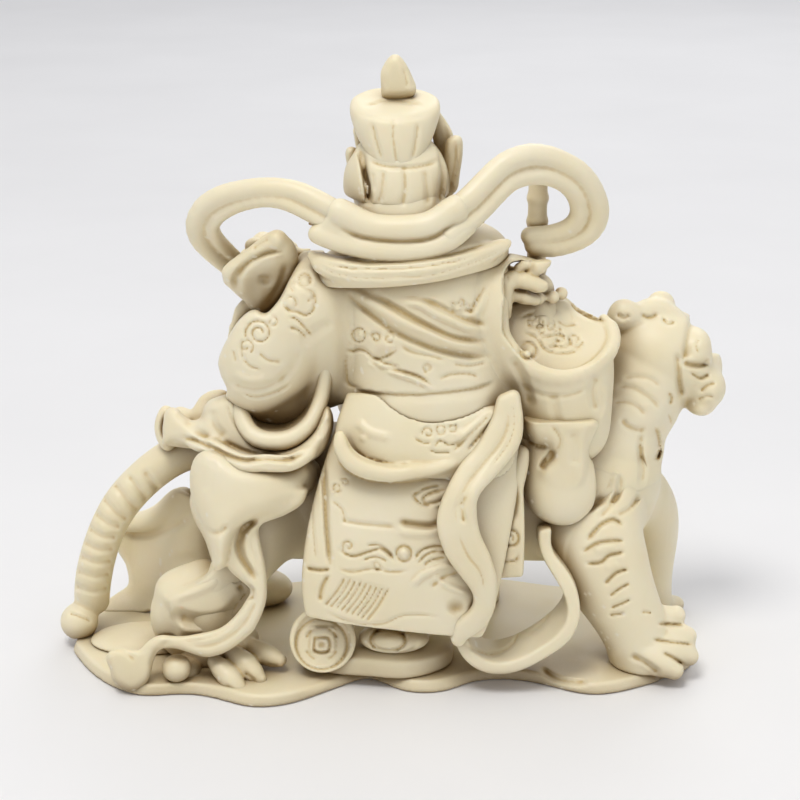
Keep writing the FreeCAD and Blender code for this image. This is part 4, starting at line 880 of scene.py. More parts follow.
clay.soften(1).carve(
    line([(240, 293), (236, 280), (242, 269), (254, 260), (268, 253), (286, 250)], 1.1, 0.9),
    dome((262, 282), 4.6, -0.9, 0.8, -40), line([(229, 284), (228, 274), (236, 264)], 0.9, -0.3),
    line([(252, 250), (262, 243), (270, 238)], 0.8, 0.4),
    line([(286, 262), (280, 284), (266, 306)], 0.9, 0.5),
    line([(243, 274), (250, 265), (257.4, 260.4), (270, 256), (284, 254)], 0.7, -0.4),
    dome((266, 280), 1.8, -0.6, 0.8), line([(258, 276), (270, 277)], 0.3, 0.2))
show(clay, "left_cuff")

# The left sleeve's hanging mouth, with its rolled rim and the cloth bunched under it

clay = block("left_sleeve_drape", pad=5.0)
clay.tube(seen([(236, 392, -5, 1.2), (239, 408, -8, 1.3), (247, 428, -11, 1.4), (258, 438, -12.5, 1.5),
    (272, 441, -13, 1.5), (286, 440, -13, 1.5), (299, 434, -12.5, 1.4), (311, 422, -11.5, 1.3),
    (319, 405, -10, 1.2), (324, 388, -8.5, 1.1), (327, 368, -8, 1.0), (328, 352, -8, 0.8)]), blend=0.6)
clay.ruled(seen([(236, 392, -5), (239, 408, -8), (247, 428, -11), (258, 438, -12.5), (286, 440, -13),
    (311, 422, -11.5), (322, 395, -9), (327, 360, -8)]),
    seen([(238, 384, 3), (244, 400, 3), (252, 414, 3), (262, 420, 3), (285, 420, 3), (303, 408, 3),
        (312, 388, 3), (318, 366, 3)]), 0.9, blend=0.8)
clay.egg(at(276, 396, 4.5), (8.5, 3.2, 7.0), blend=1.0)
clay.egg(at(327, 360, -8.4), (1.0, 0.9, 1.2), blend=0.4).egg(at(326, 368, -8.4), (1.2, 1.0, 0.9),
    blend=0.4)
clay.soften(1).carve(line([(250, 400), (262, 404), (280, 398)], 0.5, 0.5),
    line([(275, 396), (290, 404), (305, 396)], 0.4, 0.4), *cloud((288, 408), 13, 0.45),
    line([(262, 418), (280, 424), (300, 416)], 0.4, 0.3),
    line([(244, 404), (252, 407), (264, 406)], 0.7, -0.5))
show(clay, "left_sleeve_drape")

clay = block("train_cover", pad=5.0)
clay.sheet([(161, 445), (160, 428), (164, 413), (170, 407), (177, 408), (184, 415), (192, 420),
    (200, 418), (203, 408), (209, 400), (219, 396), (229, 394), (238, 402), (246, 425), (262, 445),
    (290, 447), (312, 432), (326, 405), (334, 420), (328, 445), (314, 460), (286, 470), (262, 470),
    (245, 468), (226, 460), (208, 452), (190, 449), (175, 447)],
    lambda x, z: -12.5 + 9.0 * np.clip((-18 - x) / 22.0, 0, 1) + 0.25 * (z - 40), 4.2, 2.2, blend=0.5)
clay.tube(seen([(166, 412, 2, 1.3), (164, 428, 1, 1.5), (168, 443, 0, 1.5)]), blend=1.0)
clay.tube(seen([(180, 414, 4, 1.4), (192, 423, 1, 1.6), (201, 418, 1, 1.6), (208, 404, 3, 1.6),
    (222, 397, 3, 1.4)]), blend=1.2)
clay.tube(seen([(192, 442, -8, 1.1), (208, 446, -10.5, 1.3), (226, 456, -13.5, 1.4), (244, 464, -16, 1.4),
    (264, 463, -16.5, 1.3), (290, 463, -16.5, 1.2), (312, 452, -15.5, 1.0)]), blend=1.0)
clay.egg(at(168, 428, -1.0), (1.2, 3.0, 2.4), blend=0.8, cut=True)
clay.soften(2).carve(line([(176, 436), (196, 441), (214, 449), (228, 456), (246, 461), (266, 459),
    (290, 460), (310, 450)], 0.8, 0.9),
    line([(222, 440), (237, 448), (248, 452), (260, 454), (272, 452), (281, 459)], 0.6, 0.6),
    line([(212, 408), (214, 424), (226, 438)], 1.2, 0.5),
    line([(186, 420), (196, 430), (210, 440)], 1.2, 0.5),
    line([(226, 400), (233, 418), (246, 436)], 0.8, 0.4), line([(318, 440), (330, 418)], 0.8, 0.4))
show(clay, "train_cover")

# The robe below the waist

TIER = sculpt("robe_upper_tier", passes=2)
TIER.tube(seen([(340, 436, -17.5, 0.9), (343, 450, -18.2, 1.2), (353, 462, -18.8, 1.4),
    (370, 470, -19.2, 1.4), (391, 473, -19.4, 1.3), (410, 471, -19.4, 1.1), (430, 470, -19, 0.8),
    (452, 464, -18.5, 0.5)]), blend=1.0)
TIER.carve(line([(346, 432), (352, 448), (363, 458), (380, 463), (398, 466), (415, 464)], 0.7, 0.35),
    line([(355, 420), (370, 432), (392, 438)], 1.2, -0.3), dome((363, 438), 0.9, 0.3),
    ring((441, 430), 4.5, 0.4, 0.3), curl((428, 433), 6, 1.2, 160, 1, 0.4, 0.3),
    curl((452, 428), 5, 1.2, 300, 1, 0.4, 0.3), line([(414, 438), (424, 443), (432, 442)], 0.4, 0.3),
    line([(434, 448), (440, 441), (450, 445), (461, 441)], 0.45, 0.35),
    line([(428, 449), (438, 453), (452, 452)], 0.4, 0.3),
    line([(457, 440), (472, 430), (488, 417), (500, 407)], 1.4, -0.7),
    line([(452, 452), (466, 438), (480, 425), (492, 412)], 0.6, 0.5),
    line([(466, 452), (482, 434), (500, 414)], 0.5, 0.4))
show(TIER, "robe_upper_tier")

SKIRT = sculpt("robe_skirt", passes=2)
STRIPES = [line([(346 + 5.4 * k, 576 + 1.3 * k), (338 + 5.1 * k, 590 + 1.9 * k),
    (324 + 5.2 * k, 607 + 1.9 * k)], 0.5, 0.45, 0.12) for k in range(9)]
SKIRT.carve(
    # under the tier's edge, and the second tier with its own edge
    step([(338, 450), (346, 466), (366, 477), (396, 480), (425, 477), (452, 470)], 1.0, 3.5),
    line([(398, 521), (415, 524), (432, 525), (447, 520)], 0.9, 0.9),
    line([(340, 520), (362, 524), (398, 527)], 0.8, 0.4),
    line([(396, 531), (415, 533), (432, 532), (447, 527)], 1.2, -0.5),
    # a scroll on it
    line([(422, 490), (414, 495), (420, 503), (432, 507)], 0.45, 0.5),
    line([(447, 489), (434, 492), (424, 497), (426, 503), (437, 502), (450, 497)], 0.5, 0.6),
    line([(441, 485), (428, 487), (419, 491)], 0.4, 0.4),
    line([(436, 508), (446, 506), (452, 500)], 0.4, 0.35), curl((337, 487), 5, 1.2, 20, 1, 0.4, 0.4),
    curl((345, 482), 4, 1.1, 200, 1, 0.35, 0.35), dome((333, 492), 0.8, 0.35),
    line([(331, 500), (342, 510), (345, 525)], 0.5, 0.3),
    # the wave band
    line([(336, 548), (352, 556), (368, 552), (381, 549), (391, 556), (396, 563)], 0.5, 0.6),
    line([(366, 546), (378, 545), (388, 551), (394, 558)], 0.45, 0.5),
    line([(362, 560), (376, 557), (388, 562)], 0.45, 0.45), dome((404, 553.5), 1.4, 0.7),
    ring((404, 553.5), 7.5, 0.4, 0.4), line([(414, 560), (422, 550), (436, 546), (447, 548)], 0.5, 0.6),
    line([(417, 564), (426, 555), (438, 551), (450, 553)], 0.45, 0.5),
    line([(423, 566), (432, 560), (446, 557)], 0.45, 0.45), curl((348, 546), 6, 1.3, 120, 1, 0.45, 0.4),
    curl((378, 566), 5, 1.2, 300, -1, 0.4, 0.35),
    line([(336, 568), (352, 572), (372, 569), (392, 572), (410, 570)], 0.5, 0.35),
    # the diagonal folds and the hollows over the hem
    *STRIPES, line([(456, 563), (440, 568), (422, 576), (410, 588)], 0.9, -0.5),
    line([(460, 571), (444, 577), (430, 588)], 0.7, 0.4),
    line([(432, 576), (452, 588), (470, 594)], 0.8, -0.35), dome((456, 607), 2.2, -1.0, 0.8),
    line([(470, 580), (478, 596), (470, 612)], 0.8, 0.4),
    line([(322, 611), (351, 622), (381, 624), (402, 616), (422, 615), (442, 618)], 0.5, 0.3),
    # the strip at the left and the fold under it
    line([(322, 458), (325, 490), (326.5, 523), (330.6, 570)], 0.8, 0.8),
    line([(311, 500), (313, 530), (316, 562)], 0.5, 0.25),
    line([(306, 568), (320, 570), (331, 569)], 0.6, 0.7),
    line([(329, 574), (322, 588), (320, 602)], 0.7, 0.6))
show(SKIRT, "robe_skirt")

clay = sculpt("robe_side_panel", passes=2)
clay.tube(
    seen([(523, 452, -13.5, 1.0), (515, 478, -14, 1.3), (504, 502, -14.5, 1.2), (492, 528, -15, 0.9)]),
    blend=1.2)
clay.carve(curl((510, 539), 9.5, 1.6, 250, 1, 0.45, 0.5), dome((508, 536), 1.6, 0.4),
    line([(483, 519), (488, 512), (491, 520), (487, 532)], 0.5, 0.5), ring((488, 520), 8, 0.4, 0.35, 1.4),
    line([(492, 548), (500, 560), (514, 561), (520, 552)], 0.5, 0.4),
    line([(516, 480), (517, 500), (514, 520)], 0.6, 0.3))
show(clay, "robe_side_panel")

clay = block("waist_streamer", pad=3.5)
clay.ruled(seen([(513, 396, -14.5), (516, 421, -15.5), (514, 439, -16.5), (504, 455.5, -17.5),
    (484, 478, -19.5), (473.5, 490, -21), (469, 506.5, -21.8), (473, 535, -22), (484, 560, -22),
    (490, 584, -21.8), (487, 608.6, -21.5), (478, 623, -21), (463, 633, -20.5), (458, 640, -20)]),
    seen([(504, 400, -14.5), (498, 421, -15.5), (482, 449, -17), (465, 470, -18.8), (453, 492, -20.5),
        (445, 514, -21.3), (445, 531, -21.8), (453, 553, -22), (465, 570, -22), (477, 586, -21.8),
        (481, 600, -21.5), (475, 614, -21.2), (462, 624, -20.6), (457, 638, -20)]), 1.15, blend=0.6)
clay.soften(1).carve(
    line([(508, 405), (508, 425), (499, 445), (482, 466), (466, 487), (457, 510), (459, 532)], 0.9, 0.35),
    line([(513, 402), (514, 424), (508, 444), (490, 468)], 0.35, 0.25),
    line([(468, 494), (462, 506), (464, 524)], 0.7, 0.5),
    line([(458, 534), (468, 556), (480, 572), (485, 592)], 0.5, 0.25))
show(clay, "waist_streamer")

clay = sculpt("right_hem_curl", passes=2)
clay.carve(line([(520, 628), (512, 645), (492, 655), (474, 650), (463, 640)], 0.5, 0.3),
    line([(548, 580), (553, 600), (545, 622), (524, 640)], 0.8, 0.3))
show(clay, "right_hem_curl")

# The right sleeve with its open mouth, its lobe, and the hand in it

RIGHT_SLEEVE = sculpt("right_sleeve", passes=2, pad=3.0)
RIGHT_SLEEVE.sheet(MOUTH, lambda x, z: mouth_plane(x, z) - 9.5, 9.5, SHARP, blend=0.5, cut=True)
RIGHT_SLEEVE.sheet([(503, 305)] + MOUTH[1:16] + [(550, 298), (522, 300)], mouth_plane, 2.0, 0.5,
    blend=1.0)
RIGHT_SLEEVE.tube(seen([(501, 274, -6, 1.4), (500, 300, -7.5, 1.3), (501, 329, -10, 1.2),
    (508, 344, -11, 1.1), (520, 358, -12, 1.1), (535, 370, -12.8, 1.1), (551, 376, -13, 1.1),
    (569, 377, -12.8, 1.1), (585, 372, -11.5, 1.0), (600, 363, -9.5, 1.0), (611, 350, -7, 1.0),
    (614, 338, -4.5, 1.0), (611, 327, -2.5, 1.0), (604, 319, -1, 0.9)]), blend=0.8)
RIGHT_SLEEVE.weld(TORSO, 1.5)
RIGHT_SLEEVE.carve(dome((529, 352), 1.3, 0.8), ring((528, 351), 8, 0.4, 0.4), *cloud((548, 330), 17, 0.6),
    *cloud((562, 342), 13, 0.55, -1), *cloud((534, 322), 11, 0.5),
    curl((575, 340), 8, 1.3, 0, 1, 0.45, 0.5),
    line([(520, 318), (534, 313), (548, 314), (560, 308)], 0.5, 0.5),
    line([(522, 332), (536, 338), (545, 350), (560, 354), (574, 352), (584, 342)], 0.5, 0.5),
    line([(556, 320), (566, 326), (578, 324)], 0.5, 0.5),
    line([(569, 302), (580, 314), (591, 318), (605, 323)], 0.7, 0.6),
    line([(520, 384), (540, 394), (565, 396), (590, 388)], 0.8, 0.3),
    line([(512, 356), (524, 380), (532, 408)], 1.3, 0.6),
    line([(597, 374), (592, 392), (596, 412)], 1.2, 0.5),
    line([(552, 392), (556, 412), (560, 430)], 1.4, 0.35),
    line([(604, 385), (607, 404), (600, 424)], 0.9, -0.3))
show(RIGHT_SLEEVE, "right_sleeve")

clay = block("right_sleeve_drape", pad=4.0).take("right_sleeve_drape")
clay.sheet([(524, 415), (540, 408), (560, 412), (597, 420), (594, 436), (589, 451), (588.5, 477),
    (582, 493.6), (569, 499), (555, 496.5), (542.5, 487), (537, 476), (540, 466), (550, 457), (546, 447),
    (533.6, 442), (525, 430)], -11.5, 3.0, 2.6, blend=0.8)
clay.soften(1).carve(line([(553, 449), (551, 456), (545, 462), (541, 470)], 0.9, 1.0),
    line([(552, 425), (560, 440), (556, 452)], 0.7, 0.35),
    line([(522, 436), (533, 444), (547, 447)], 0.5, 0.4),
    line([(571, 430), (576, 448), (574, 466)], 1.6, 0.35),
    line([(583, 440), (583, 470), (577, 488)], 0.8, -0.25))
show(clay, "right_sleeve_drape")

clay = block("right_hand", pad=3.5).take("right_hand").soften(2)
clay.tube(seen([(504, 314, -6.5, 1.3), (503, 298, -7, 1.5), (505, 283, -7, 1.6), (512, 279, -6.5, 1.5)]),
    blend=0.6)
clay.tube(
    seen([(510, 281, -6.5, 1.4), (524, 281, -6.6, 1.35), (536, 285, -6.4, 1.3), (542, 286, -6.2, 1.1)]),
    blend=0.4)
clay.tube(seen([(511, 294, -6, 1.2), (524, 297, -6, 1.2), (535, 300, -5.5, 1.0)]), blend=0.4)
clay.tube(seen([(532, 273, -5.5, 1.0), (538, 267, -5.5, 1.3), (545, 262, -5.2, 1.1)]), blend=0.4)
clay.tube(seen([(519, 268, -5.5, 0.9), (526, 264, -5.5, 0.9)]), blend=0.4)
clay.carve(line([(512, 289), (524, 291), (538, 293)], 0.4, 0.4),
    line([(508, 276), (506, 284)], 0.3, 0.25))
show(clay, "right_hand")

# The train over the haunch, its curling edge, and the pool of cloth beside it

clay = block("train_fall", pad=6.0)
clay.sheet([(309, 487), (305, 500), (299, 507), (285, 515), (268, 521), (259, 527), (261, 544),
    (265.7, 566), (267.3, 588), (265, 606), (257, 625), (249.7, 634.7), (229, 650.6), (211.5, 657),
    (200, 656.2), (187.6, 652.2), (174.8, 648.5), (163.6, 648.5), (157, 653), (153, 664), (149.3, 679.3),
    (139.7, 688.9), (128.6, 691.3), (114.2, 682.5), (110, 671), (106, 655), (120, 648), (138, 650),
    (148, 641), (160, 635), (178.8, 636), (195.5, 634), (219.4, 628), (235.4, 615), (246.5, 599),
    (250, 590), (240, 580), (229, 570), (224.2, 556.5), (224.2, 543.8), (232, 532.6), (244, 524),
    (258, 512), (266, 498), (270, 487)], lambda x, z: -20.0 + 0.13 * z, 1.5, 1.3, blend=0.3)
clay.sheet([(190, 490), (190, 472), (195, 457), (206, 450), (222, 454), (240, 464), (262, 467),
    (288, 466), (306, 456), (320, 466), (318, 482), (303, 501), (286, 510), (268, 516), (250, 522),
    (236, 532), (230, 550), (226, 566), (214, 570), (211, 552), (205, 534), (197, 516), (192, 502)],
    lambda x, z: -17.2 + 0.04 * (x + 27) ** 2 + 0.25 * (z - 30), 4.2, 3.4, blend=1.6)
clay.soften(1).carve(
    line([(262, 518), (246, 527), (238.6, 541), (241, 556), (250, 570), (256, 582)], 1.0, 0.9),
    line([(205, 528), (213, 533), (222, 531), (228, 524)], 0.8, 0.5), dome((217, 545), 2.6, 0.5),
    line([(306, 462), (313, 474), (304, 490)], 0.9, 0.4),
    line([(214, 460), (206, 476), (206, 492)], 1.6, 0.3),
    line([(266, 520), (251, 532), (247, 545), (251, 560), (258, 576)], 0.9, -0.35),
    line([(246, 586), (252, 590), (251, 600)], 0.8, 0.8),
    line([(258, 590), (252, 610), (240, 628), (220, 642), (200, 646), (180, 641)], 0.9, 0.35),
    line([(236, 620), (220, 633), (198, 640), (180, 641)], 0.4, 0.3),
    line([(172, 642), (162, 645), (154, 654), (150, 668)], 0.8, 0.4),
    line([(104, 646), (107, 660), (109, 674)], 0.6, 0.5),
    line([(106, 645), (122, 650), (136, 661)], 0.8, 0.4))
show(clay, "train_fall")

clay = block("train_fold", pad=5.0).take("train_fold")
clay.sheet([(164.4, 598), (171.6, 593), (190.7, 585), (206.7, 574), (212, 560), (221, 560), (231, 568),
    (243, 578), (254, 586), (252, 594), (246.5, 603), (235.4, 619), (219.4, 632), (195.5, 638),
    (179.5, 639), (174.8, 628), (170, 615.5)], lambda x, z: -13.5 - 0.14 * (12.0 - z), 2.4, 1.6,
    blend=1.0)
clay.egg(at(184, 588, -8.5), (5.0, 4.6, 3.4), blend=1.5).egg(at(205, 582, -8.0), (5.0, 4.6, 4.0),
    blend=1.5)
clay.soften(2).carve(line([(172, 611), (180, 616), (192, 620.5), (211.5, 622), (229, 615.5), (240, 603),
    (244, 592)], 2.0, 1.3), line([(238, 584), (244, 592), (243, 602)], 1.0, 0.8),
    line([(171, 597), (190, 592), (210, 584), (222, 574)], 1.5, -0.4),
    line([(230, 578), (238, 583)], 0.5, 0.4))
show(clay, "train_fold")

def wall_depth(x, z):
    turn = np.clip((x + 52.0) / 16.0, 0, 1)
    turn = turn * turn * (3 - 2 * turn)
    return 16.0 - 11.0 * turn - 6.0 * np.exp(-np.maximum(z - 2.2, 0) / 3.0)


clay = Clay((-58, -6, 1.0), (-33, 22, 30))
clay.sheet([(119, 524), (130, 516), (149, 511), (162, 503), (171.6, 492), (181, 490), (194, 498),
    (202, 520), (216, 550), (220, 575), (205, 590), (180, 600), (150, 612), (104, 613), (103, 603),
    (118, 592), (128, 584), (126, 566), (118, 552), (113, 541), (113, 530)], wall_depth, 1.1, 0.8,
    blend=0.4)
clay.tube(seen([(120, 525, 15.5, 0.9), (131, 523, 15.0, 1.4), (149, 521, 13.5, 1.7),
    (163, 514, 11.5, 1.8), (175, 503, 9.5, 1.8), (184, 497, 8.5, 1.6), (192, 502, 7.5, 1.2)]), blend=1.2)
clay.soften(1).carve(line([(122, 534), (148, 535), (165, 531), (180, 523), (194, 516)], 1.2, 0.5),
    dome((186, 562), 3.5, -0.6, 0.7))
show(clay, "far_train")

# Where the rings of the tail begin and end
TAIL_RINGS = ((146, 474, 164, 496), (131, 479, 150, 503), (117, 487, 137, 510), (104, 499, 124, 518),
    (94, 512, 117, 526), (87, 527, 113, 537), (82, 541, 110, 549), (78, 555, 108, 561),
    (76, 570, 106, 574), (73, 585, 104, 588))


def tail_ring(ax, ay, bx, by):
    return line([(ax, ay), ((ax + bx) / 2 + 2, (ay + by) / 2 + 4), (bx, by)], 1.0, 0.45, 0.0)


clay = sculpt("tiger_tail", passes=2, pad=3.0)
clay.carve(*[tail_ring(*ends) for ends in TAIL_RINGS], line([(68, 613), (80, 617), (92, 622)], 0.5, 0.4),
    line([(60, 640), (74, 644), (88, 640)], 0.6, 0.3))
show(clay, "tiger_tail")

# The tiger

BODY = sculpt("tiger_body", passes=4, pad=3.0)
BODY.egg(at(556, 533, -7.5), (3.6, 3.2, 3.6), blend=3.0)
CHEST = [line([(586, 514), (597, 502), (607, 492), (614, 480)], 1.0, 0.4),
    line([(598, 520), (612, 504), (620, 488), (622, 474)], 0.9, 0.4),
    line([(616, 516), (630, 508), (640, 494)], 0.8, 0.35),
    line([(622, 418), (626, 425), (638, 430), (646, 428)], 0.8, 0.4),
    line([(642, 430), (640, 450), (643, 470), (641, 486)], 0.9, 0.45),
    line([(655, 425), (658, 438), (659, 451), (655, 462)], 0.7, 0.5),
    line([(618, 470), (612, 486), (600, 500)], 0.8, -0.35),
    line([(668, 412), (672, 428), (668, 444)], 0.6, 0.35)]
LEG_FOLDS = [line([(586, 542), (594, 532), (603, 523.5), (614, 520), (624, 527)], 0.7, 0.7),
    line([(581, 553), (596, 544), (610, 541), (626, 541)], 0.6, 0.6),
    line([(585, 564), (600, 562.5), (610, 555), (626, 552)], 0.6, 0.7),
    line([(604, 585), (616, 573), (629, 569)], 0.6, 0.7),
    line([(609, 597), (619, 589), (630, 583)], 0.5, 0.6),
    line([(610, 608), (623, 603), (631, 599)], 0.5, 0.55), line([(609, 615), (625, 613)], 0.5, 0.5),
    line([(594, 552), (606, 548), (618, 547)], 1.2, -0.3), line([(606, 570), (618, 563)], 1.0, -0.25)]
BODY.carve(*CHEST, *LEG_FOLDS[:2])
# Where locks of fur start at the far side, how they lean, and how much lower they are
FUR = ((-33, 1.5, 5), (-29, 1.8, 3), (-25, 1.8, 2), (-21, 1.5, 2), (-17, 1.2, 2), (25.5, -1.5, 0),
    (29.5, -1.8, 0), (33.5, -1.8, 0), (37.5, -1.5, 0))


def lock(x, lean, drop):
    return line([(x, 43 - drop), (x + lean, 37 - drop), (x + 1.3 * lean, 31 - drop)], 0.8, 0.5)


BODY.carve(*[lock(*place) for place in FUR], line([(-34, 24), (-29, 21), (-24, 22)], 0.8, 0.5),
    line([(38, 30), (42, 27), (46, 28)], 0.8, 0.5), view="front")
show(BODY, "tiger_body")

LEG = block("near_foreleg", pad=4.0).take("near_foreleg")
for row in ([(648, 625, -10), (664, 618, -10), (676, 615, -10)],
        [(648, 635, -12), (670, 634, -12), (687, 636, -12)],
        [(648, 645, -14), (672, 650, -14), (689, 656, -14)],
        [(648, 655, -16), (663, 664, -16.5), (674, 670, -17)]):
    LEG.tube([(*place, size) for place, size in zip(seen(row), (2.0, 2.1, 1.75))], blend=0.8)
LEG.soften(1).weld(BODY, 3.5)
LEG.carve(*CHEST[:3], *LEG_FOLDS, line([(657, 624), (670, 624.5), (684, 625.5)], 0.5, 0.5),
    line([(652, 639), (668, 642), (693, 645)], 0.5, 0.55),
    line([(662, 652), (675, 659), (684, 666)], 0.5, 0.55),
    line([(630, 655), (645, 662), (661, 674)], 0.9, 0.6), line([(641, 612), (652, 613)], 0.5, 0.35))
show(LEG, "near_foreleg")

clay = block("far_foreleg", pad=4.0).take("far_foreleg")
clay.tube(seen([(628, 604, 13, 1.6), (640, 598, 13, 1.9), (649, 596, 13, 1.5)]), blend=1.0)
clay.tube(seen([(655, 612, 13.5, 1.8), (668, 606, 14, 2.0), (676, 604, 14.5, 1.6)]), blend=1.0)
clay.soften(2).weld(BODY, 3.5)
show(clay, "far_foreleg")

clay = block("near_hind_leg", pad=4.0).take("near_hind_leg")
clay.sheet([(130, 480), (190, 480), (192, 502), (197, 518), (205, 534), (211, 552), (214, 568),
    (202, 580), (178, 593), (167, 602), (174, 628), (180, 642), (130, 655)], -13.0, 12.5, SHARP,
    blend=1.2, cut=True)
clay.sheet([(205, 640), (262, 615), (300, 640), (300, 710), (150, 710), (150, 655)], -14.0, 12.0, SHARP,
    blend=1.5, cut=True)
clay.egg(at(215, 640, -9.0), (8.0, 6.0, 5.5), blend=2.0)
for line_of_toe in (((215, 662, -17), (228, 676, -19), (242, 693, -21)),
        ((232, 652, -15), (247, 665, -17), (260, 679, -18.5)),
        ((252, 646, -12.5), (265, 654, -14), (280, 660, -15.5))):
    clay.tube([(*place, size) for place, size in zip(seen(line_of_toe), (1.4, 1.9, 1.25))], blend=0.6)
clay.egg(at(183, 670, -15.0), (3.3, 3.0, 2.2), blend=0.4)
clay.soften(1).weld(BODY, 3.5)
clay.carve(line([(226, 685), (238, 695)], 0.5, 0.3), line([(245, 672), (256, 682)], 0.5, 0.3),
    line([(266, 664), (277, 667)], 0.5, 0.3))
show(clay, "near_hind_leg")

clay = block("far_hind_leg", pad=4.0).take("far_hind_leg").soften(2).weld(BODY, 3.5)
show(clay, "far_hind_leg")

HEAD_OF_TIGER = block("tiger_head", pad=3.5).take("tiger_head", blend=1.5)
HEAD_OF_TIGER.sheet([(679, 362), (700, 356), (730, 350), (735, 330), (712, 318), (690, 318)], 6.0, 14.0,
    1.0, blend=1.5, cut=True)
HEAD_OF_TIGER.egg(at(684, 368, 4.0), (4.5, 5.0, 4.0), blend=2.0)
HEAD_OF_TIGER.egg(at(695, 344, 4.0), (2.8, 4.5, 2.9), blend=2.2).egg(at(700, 356, 2.5), (1.9, 3.0, 1.6),
    blend=0.8)
HEAD_OF_TIGER.egg(at(706, 387, 3.5), (3.5, 4.5, 3.8), blend=2.0)
HEAD_OF_TIGER.tube(seen([(618, 320, 3, 1.6), (627, 316, 3.5, 1.8), (636, 316, 4, 1.8)]), blend=1.5)
HEAD_OF_TIGER.tube(seen([(641, 312, 5, 1.8), (656, 311, 6, 2.2), (671, 318, 6, 1.9), (680, 332, 5, 1.6)]),
    blend=1.0)
HEAD_OF_TIGER.egg(at(700, 404, 3.5), (2.6, 4.0, 1.8), blend=1.0)
HEAD_OF_TIGER.soften(2)
HEAD_OF_TIGER.weld(BODY, 4.0)
HEAD_OF_TIGER.carve(*CHEST[3:],
    line([(615, 389), (626, 387), (637, 390), (652, 400), (660, 410)], 0.9, 0.35),
    line([(622, 379), (636, 377), (650, 379), (662, 388)], 0.9, 0.3),
    line([(612, 405), (622, 402), (636, 406), (646, 416)], 0.8, 0.3),
    line([(668, 392), (671, 397), (670, 405)], 0.6, 0.5),
    line([(676, 352), (678, 365), (679, 382), (682, 398)], 0.9, 0.7),
    line([(681, 362), (692, 365), (703, 364), (709, 358)], 0.9, 0.8),
    line([(690, 372), (700, 378), (710, 374)], 0.6, 0.5),
    line([(700, 392), (707, 386), (716, 383)], 0.6, 0.5),
    line([(697, 400), (706, 396), (714, 397)], 0.5, 0.4),
    line([(700, 338), (696, 346), (699, 354)], 0.5, 0.3),
    line([(662, 318), (668, 324), (676, 322)], 0.6, 0.5),
    line([(616, 314), (624, 318), (630, 314)], 0.7, 0.4),
    line([(640, 314), (650, 318), (658, 313)], 0.6, 0.35), view="photo")
HEAD_OF_TIGER.carve(
    # the far side: eye, brow, nostril, mouth and whisker lines in millimetres
    ring((51.5, 57.0), 1.9, 0.4, 0.5), dome((51.5, 57.0), 1.3, 0.5),
    line([(47.5, 60.0), (50.5, 61.2), (54.0, 60.2)], 0.7, -0.5),
    line([(57.5, 51.5), (55.0, 49.5), (51.5, 48.6), (48.5, 49.6)], 0.5, 0.7),
    line([(45, 56), (43.5, 52.5), (44.5, 49)], 0.6, 0.4),
    line([(41, 58), (39, 53.5), (40, 49)], 0.6, 0.35), line([(37, 52), (35, 47.5), (36, 43)], 0.6, 0.3),
    view="front")
show(HEAD_OF_TIGER, "tiger_head")

# The treasures and the plinth

clay = sculpt("coin", passes=1, grain=FINE)
clay.carve(ring((321.5, 644), 25.5, 0.46, 0.35),
    line([(315, 638), (328, 638), (328, 651), (315, 651), (315, 638)], 0.46, 0.5, 0.0),
    dome((321.5, 644.5), 1.1, -0.5),
    *[ring((321.5, 644), 16.5, 0.46, 0.25, 1.0, first, first + 50) for first in (20, 110, 200, 290)])
show(clay, "coin")

clay = sculpt("ingot", passes=2, grain=FINE, pad=3.0)
clay.carve(ring((388, 640), 17, 0.6, 0.6, 0.62), dome((388, 638), 3.0, 0.5, 0.55),
    line([(355, 642), (370, 652), (390, 657), (408, 652), (420, 641)], 0.5, 0.3))
show(clay, "ingot")

PLINTH = sculpt("base_plinth", passes=1, pad=3.0, grain=COARSE)
PLINTH.carve(line([(540, 668), (552, 677), (568, 682), (589, 683.5)], 0.9, 0.7),
    line([(300, 690), (340, 676), (372, 672), (410, 682)], 1.2, 0.3),
    line([(640, 668), (655, 676), (672, 680)], 0.8, 0.3), threshold=-0.2)
show(PLINTH, "base_plinth")

# The robe in front, the lap, the boots, and the pieces without carving

clay = sculpt("front_robe_fall", passes=3, pad=4.0)
clay.carve(*[line([(x, 42), (x + bend, 30), (x + 1.4 * bend, 16)], 1.1, 0.7, 0.1) for x, bend in (
    (-8, -0.8), (-4, 0.6), (1, -0.4), (6, 0.5), (11, -0.6), (16, 0.7), (20, 0.4))],
    line([(-11, 18.2), (-4, 17.4), (5, 17.0), (14, 17.4), (22, 18.2)], 0.5, 0.6, 0.02),
    line([(-11, 20.0), (-4, 19.2), (5, 18.8), (14, 19.2), (22, 20.0)], 0.46, 0.45, 0.02),
    *[mark for x, z in ((-1.5, 27), (8.5, 32), (14, 24)) for mark in cloud((x, z), 2.6, 0.5)],
    view="front")
show(clay, "front_robe_fall")

clay = sculpt("lap_robe", passes=3, pad=3.0)
clay.carve(line([(-8, 48), (-3, 44.5), (3, 43.5)], 1.2, 0.7),
    line([(20, 48), (15, 44.5), (9, 43.5)], 1.2, 0.7), line([(-10, 45), (-5, 41.5), (0, 40)], 1.0, 0.5),
    line([(21, 45), (17, 41.5), (12, 40)], 1.0, 0.5), dome((-5.5, 46.0), 4.0, 0.7, 0.7),
    dome((16.5, 46.0), 4.0, 0.7, 0.7), view="front")
show(clay, "lap_robe")

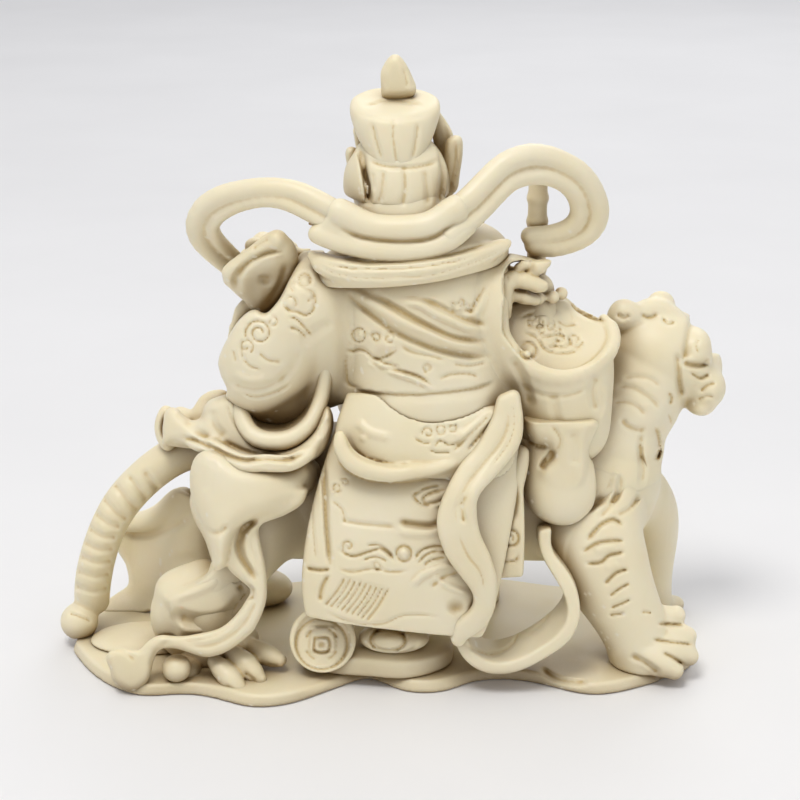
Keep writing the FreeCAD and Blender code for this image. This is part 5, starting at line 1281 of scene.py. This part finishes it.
for boot in ("left_boot", "right_boot"):
    low, high = (np.array(side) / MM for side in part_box(boot))
    middle = (low + high) / 2
    clay = sculpt(boot, passes=2, pad=4.0)
    clay.egg((middle[0], high[1] - 1.2, low[2] + 2.0), (2.8, 3.6, 2.3), blend=1.5)
    clay.carve(line([(middle[0] - 4, low[2] + 1.2), (middle[0], low[2] + 0.9),
        (middle[0] + 4, low[2] + 1.2)], 0.46, 0.5),
        curl((middle[0], low[2] + 3.6), 1.5, 1.2, 90, 1, 0.46, 0.35), view="front")
    show(clay, boot)

done = {piece.name[len("carved_"):] for piece in bpy.data.objects if piece.name.startswith("carved_")}
for name in frame["nodes"]:
    if name not in done and "dowels" not in name and "pins" not in name:
        show(sculpt(name), name)

# The floor, the light and the backdrop

bpy.ops.mesh.primitive_circle_add(vertices=96, radius=4.0, fill_type="TRIFAN")
floor = bpy.context.object
floor.name = "floor"
material, nodes, links, shader = new_material("floor")
tone = ramp(nodes, links, noise(nodes, links, 12.0).outputs["Fac"],
    [(0.3, (0.84, 0.84, 0.85)), (0.7, (0.87, 0.87, 0.88))])
links.new(tone.outputs["Color"], shader.inputs["Base Color"])
shader.inputs["Roughness"].default_value = 0.7
floor.data.materials.append(material)
floor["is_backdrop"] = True


def lamp(name, place, size, power, colour=(1, 1, 1)):
    data = bpy.data.lights.new(name, "AREA")
    data.shape, data.size, data.energy, data.color = "DISK", size, power, colour
    light = bpy.data.objects.new(name, data)
    light.location = place
    light.rotation_euler = (AIM - light.location).to_track_quat("-Z", "Y").to_euler()
    bpy.context.scene.collection.objects.link(light)


AIM = Vector((0, 0, 0.05))
lamp("key", (-0.16, -0.30, 0.80), 0.30, 3.0, (1.0, 0.98, 0.94))
lamp("fill", (0.75, -0.50, 0.30), 0.6, 0.55)
lamp("back", (0.2, 0.8, 0.6), 0.6, 1.3)

world = bpy.data.worlds.new("studio")
bpy.context.scene.world = world
world.use_nodes = True
nodes, links = world.node_tree.nodes, world.node_tree.links
back = nodes["Background"]
sky = nodes.new("ShaderNodeTexCoord")
parts = nodes.new("ShaderNodeSeparateXYZ")
links.new(sky.outputs["Generated"], parts.inputs[0])
height = ramp(nodes, links, parts.outputs["Z"], [(0.0, (0.10, 0.10, 0.10)), (1.0, (0.86, 0.86, 0.88))])
links.new(height.outputs["Color"], back.inputs["Color"])
back.inputs["Strength"].default_value = 1.0
plate = nodes.new("ShaderNodeBackground")
plate.inputs["Color"].default_value = (0.72, 0.72, 0.73, 1)
path = nodes.new("ShaderNodeLightPath")
either = nodes.new("ShaderNodeMath")
either.operation = "MAXIMUM"
links.new(path.outputs["Is Camera Ray"], either.inputs[0])
links.new(path.outputs["Is Glossy Ray"], either.inputs[1])
choose = nodes.new("ShaderNodeMixShader")
links.new(either.outputs[0], choose.inputs[0])
links.new(back.outputs[0], choose.inputs[1])
links.new(plate.outputs[0], choose.inputs[2])
links.new(choose.outputs[0], nodes["World Output"].inputs["Surface"])
bpy.context.scene.view_settings.view_transform = "Standard"

low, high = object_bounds()
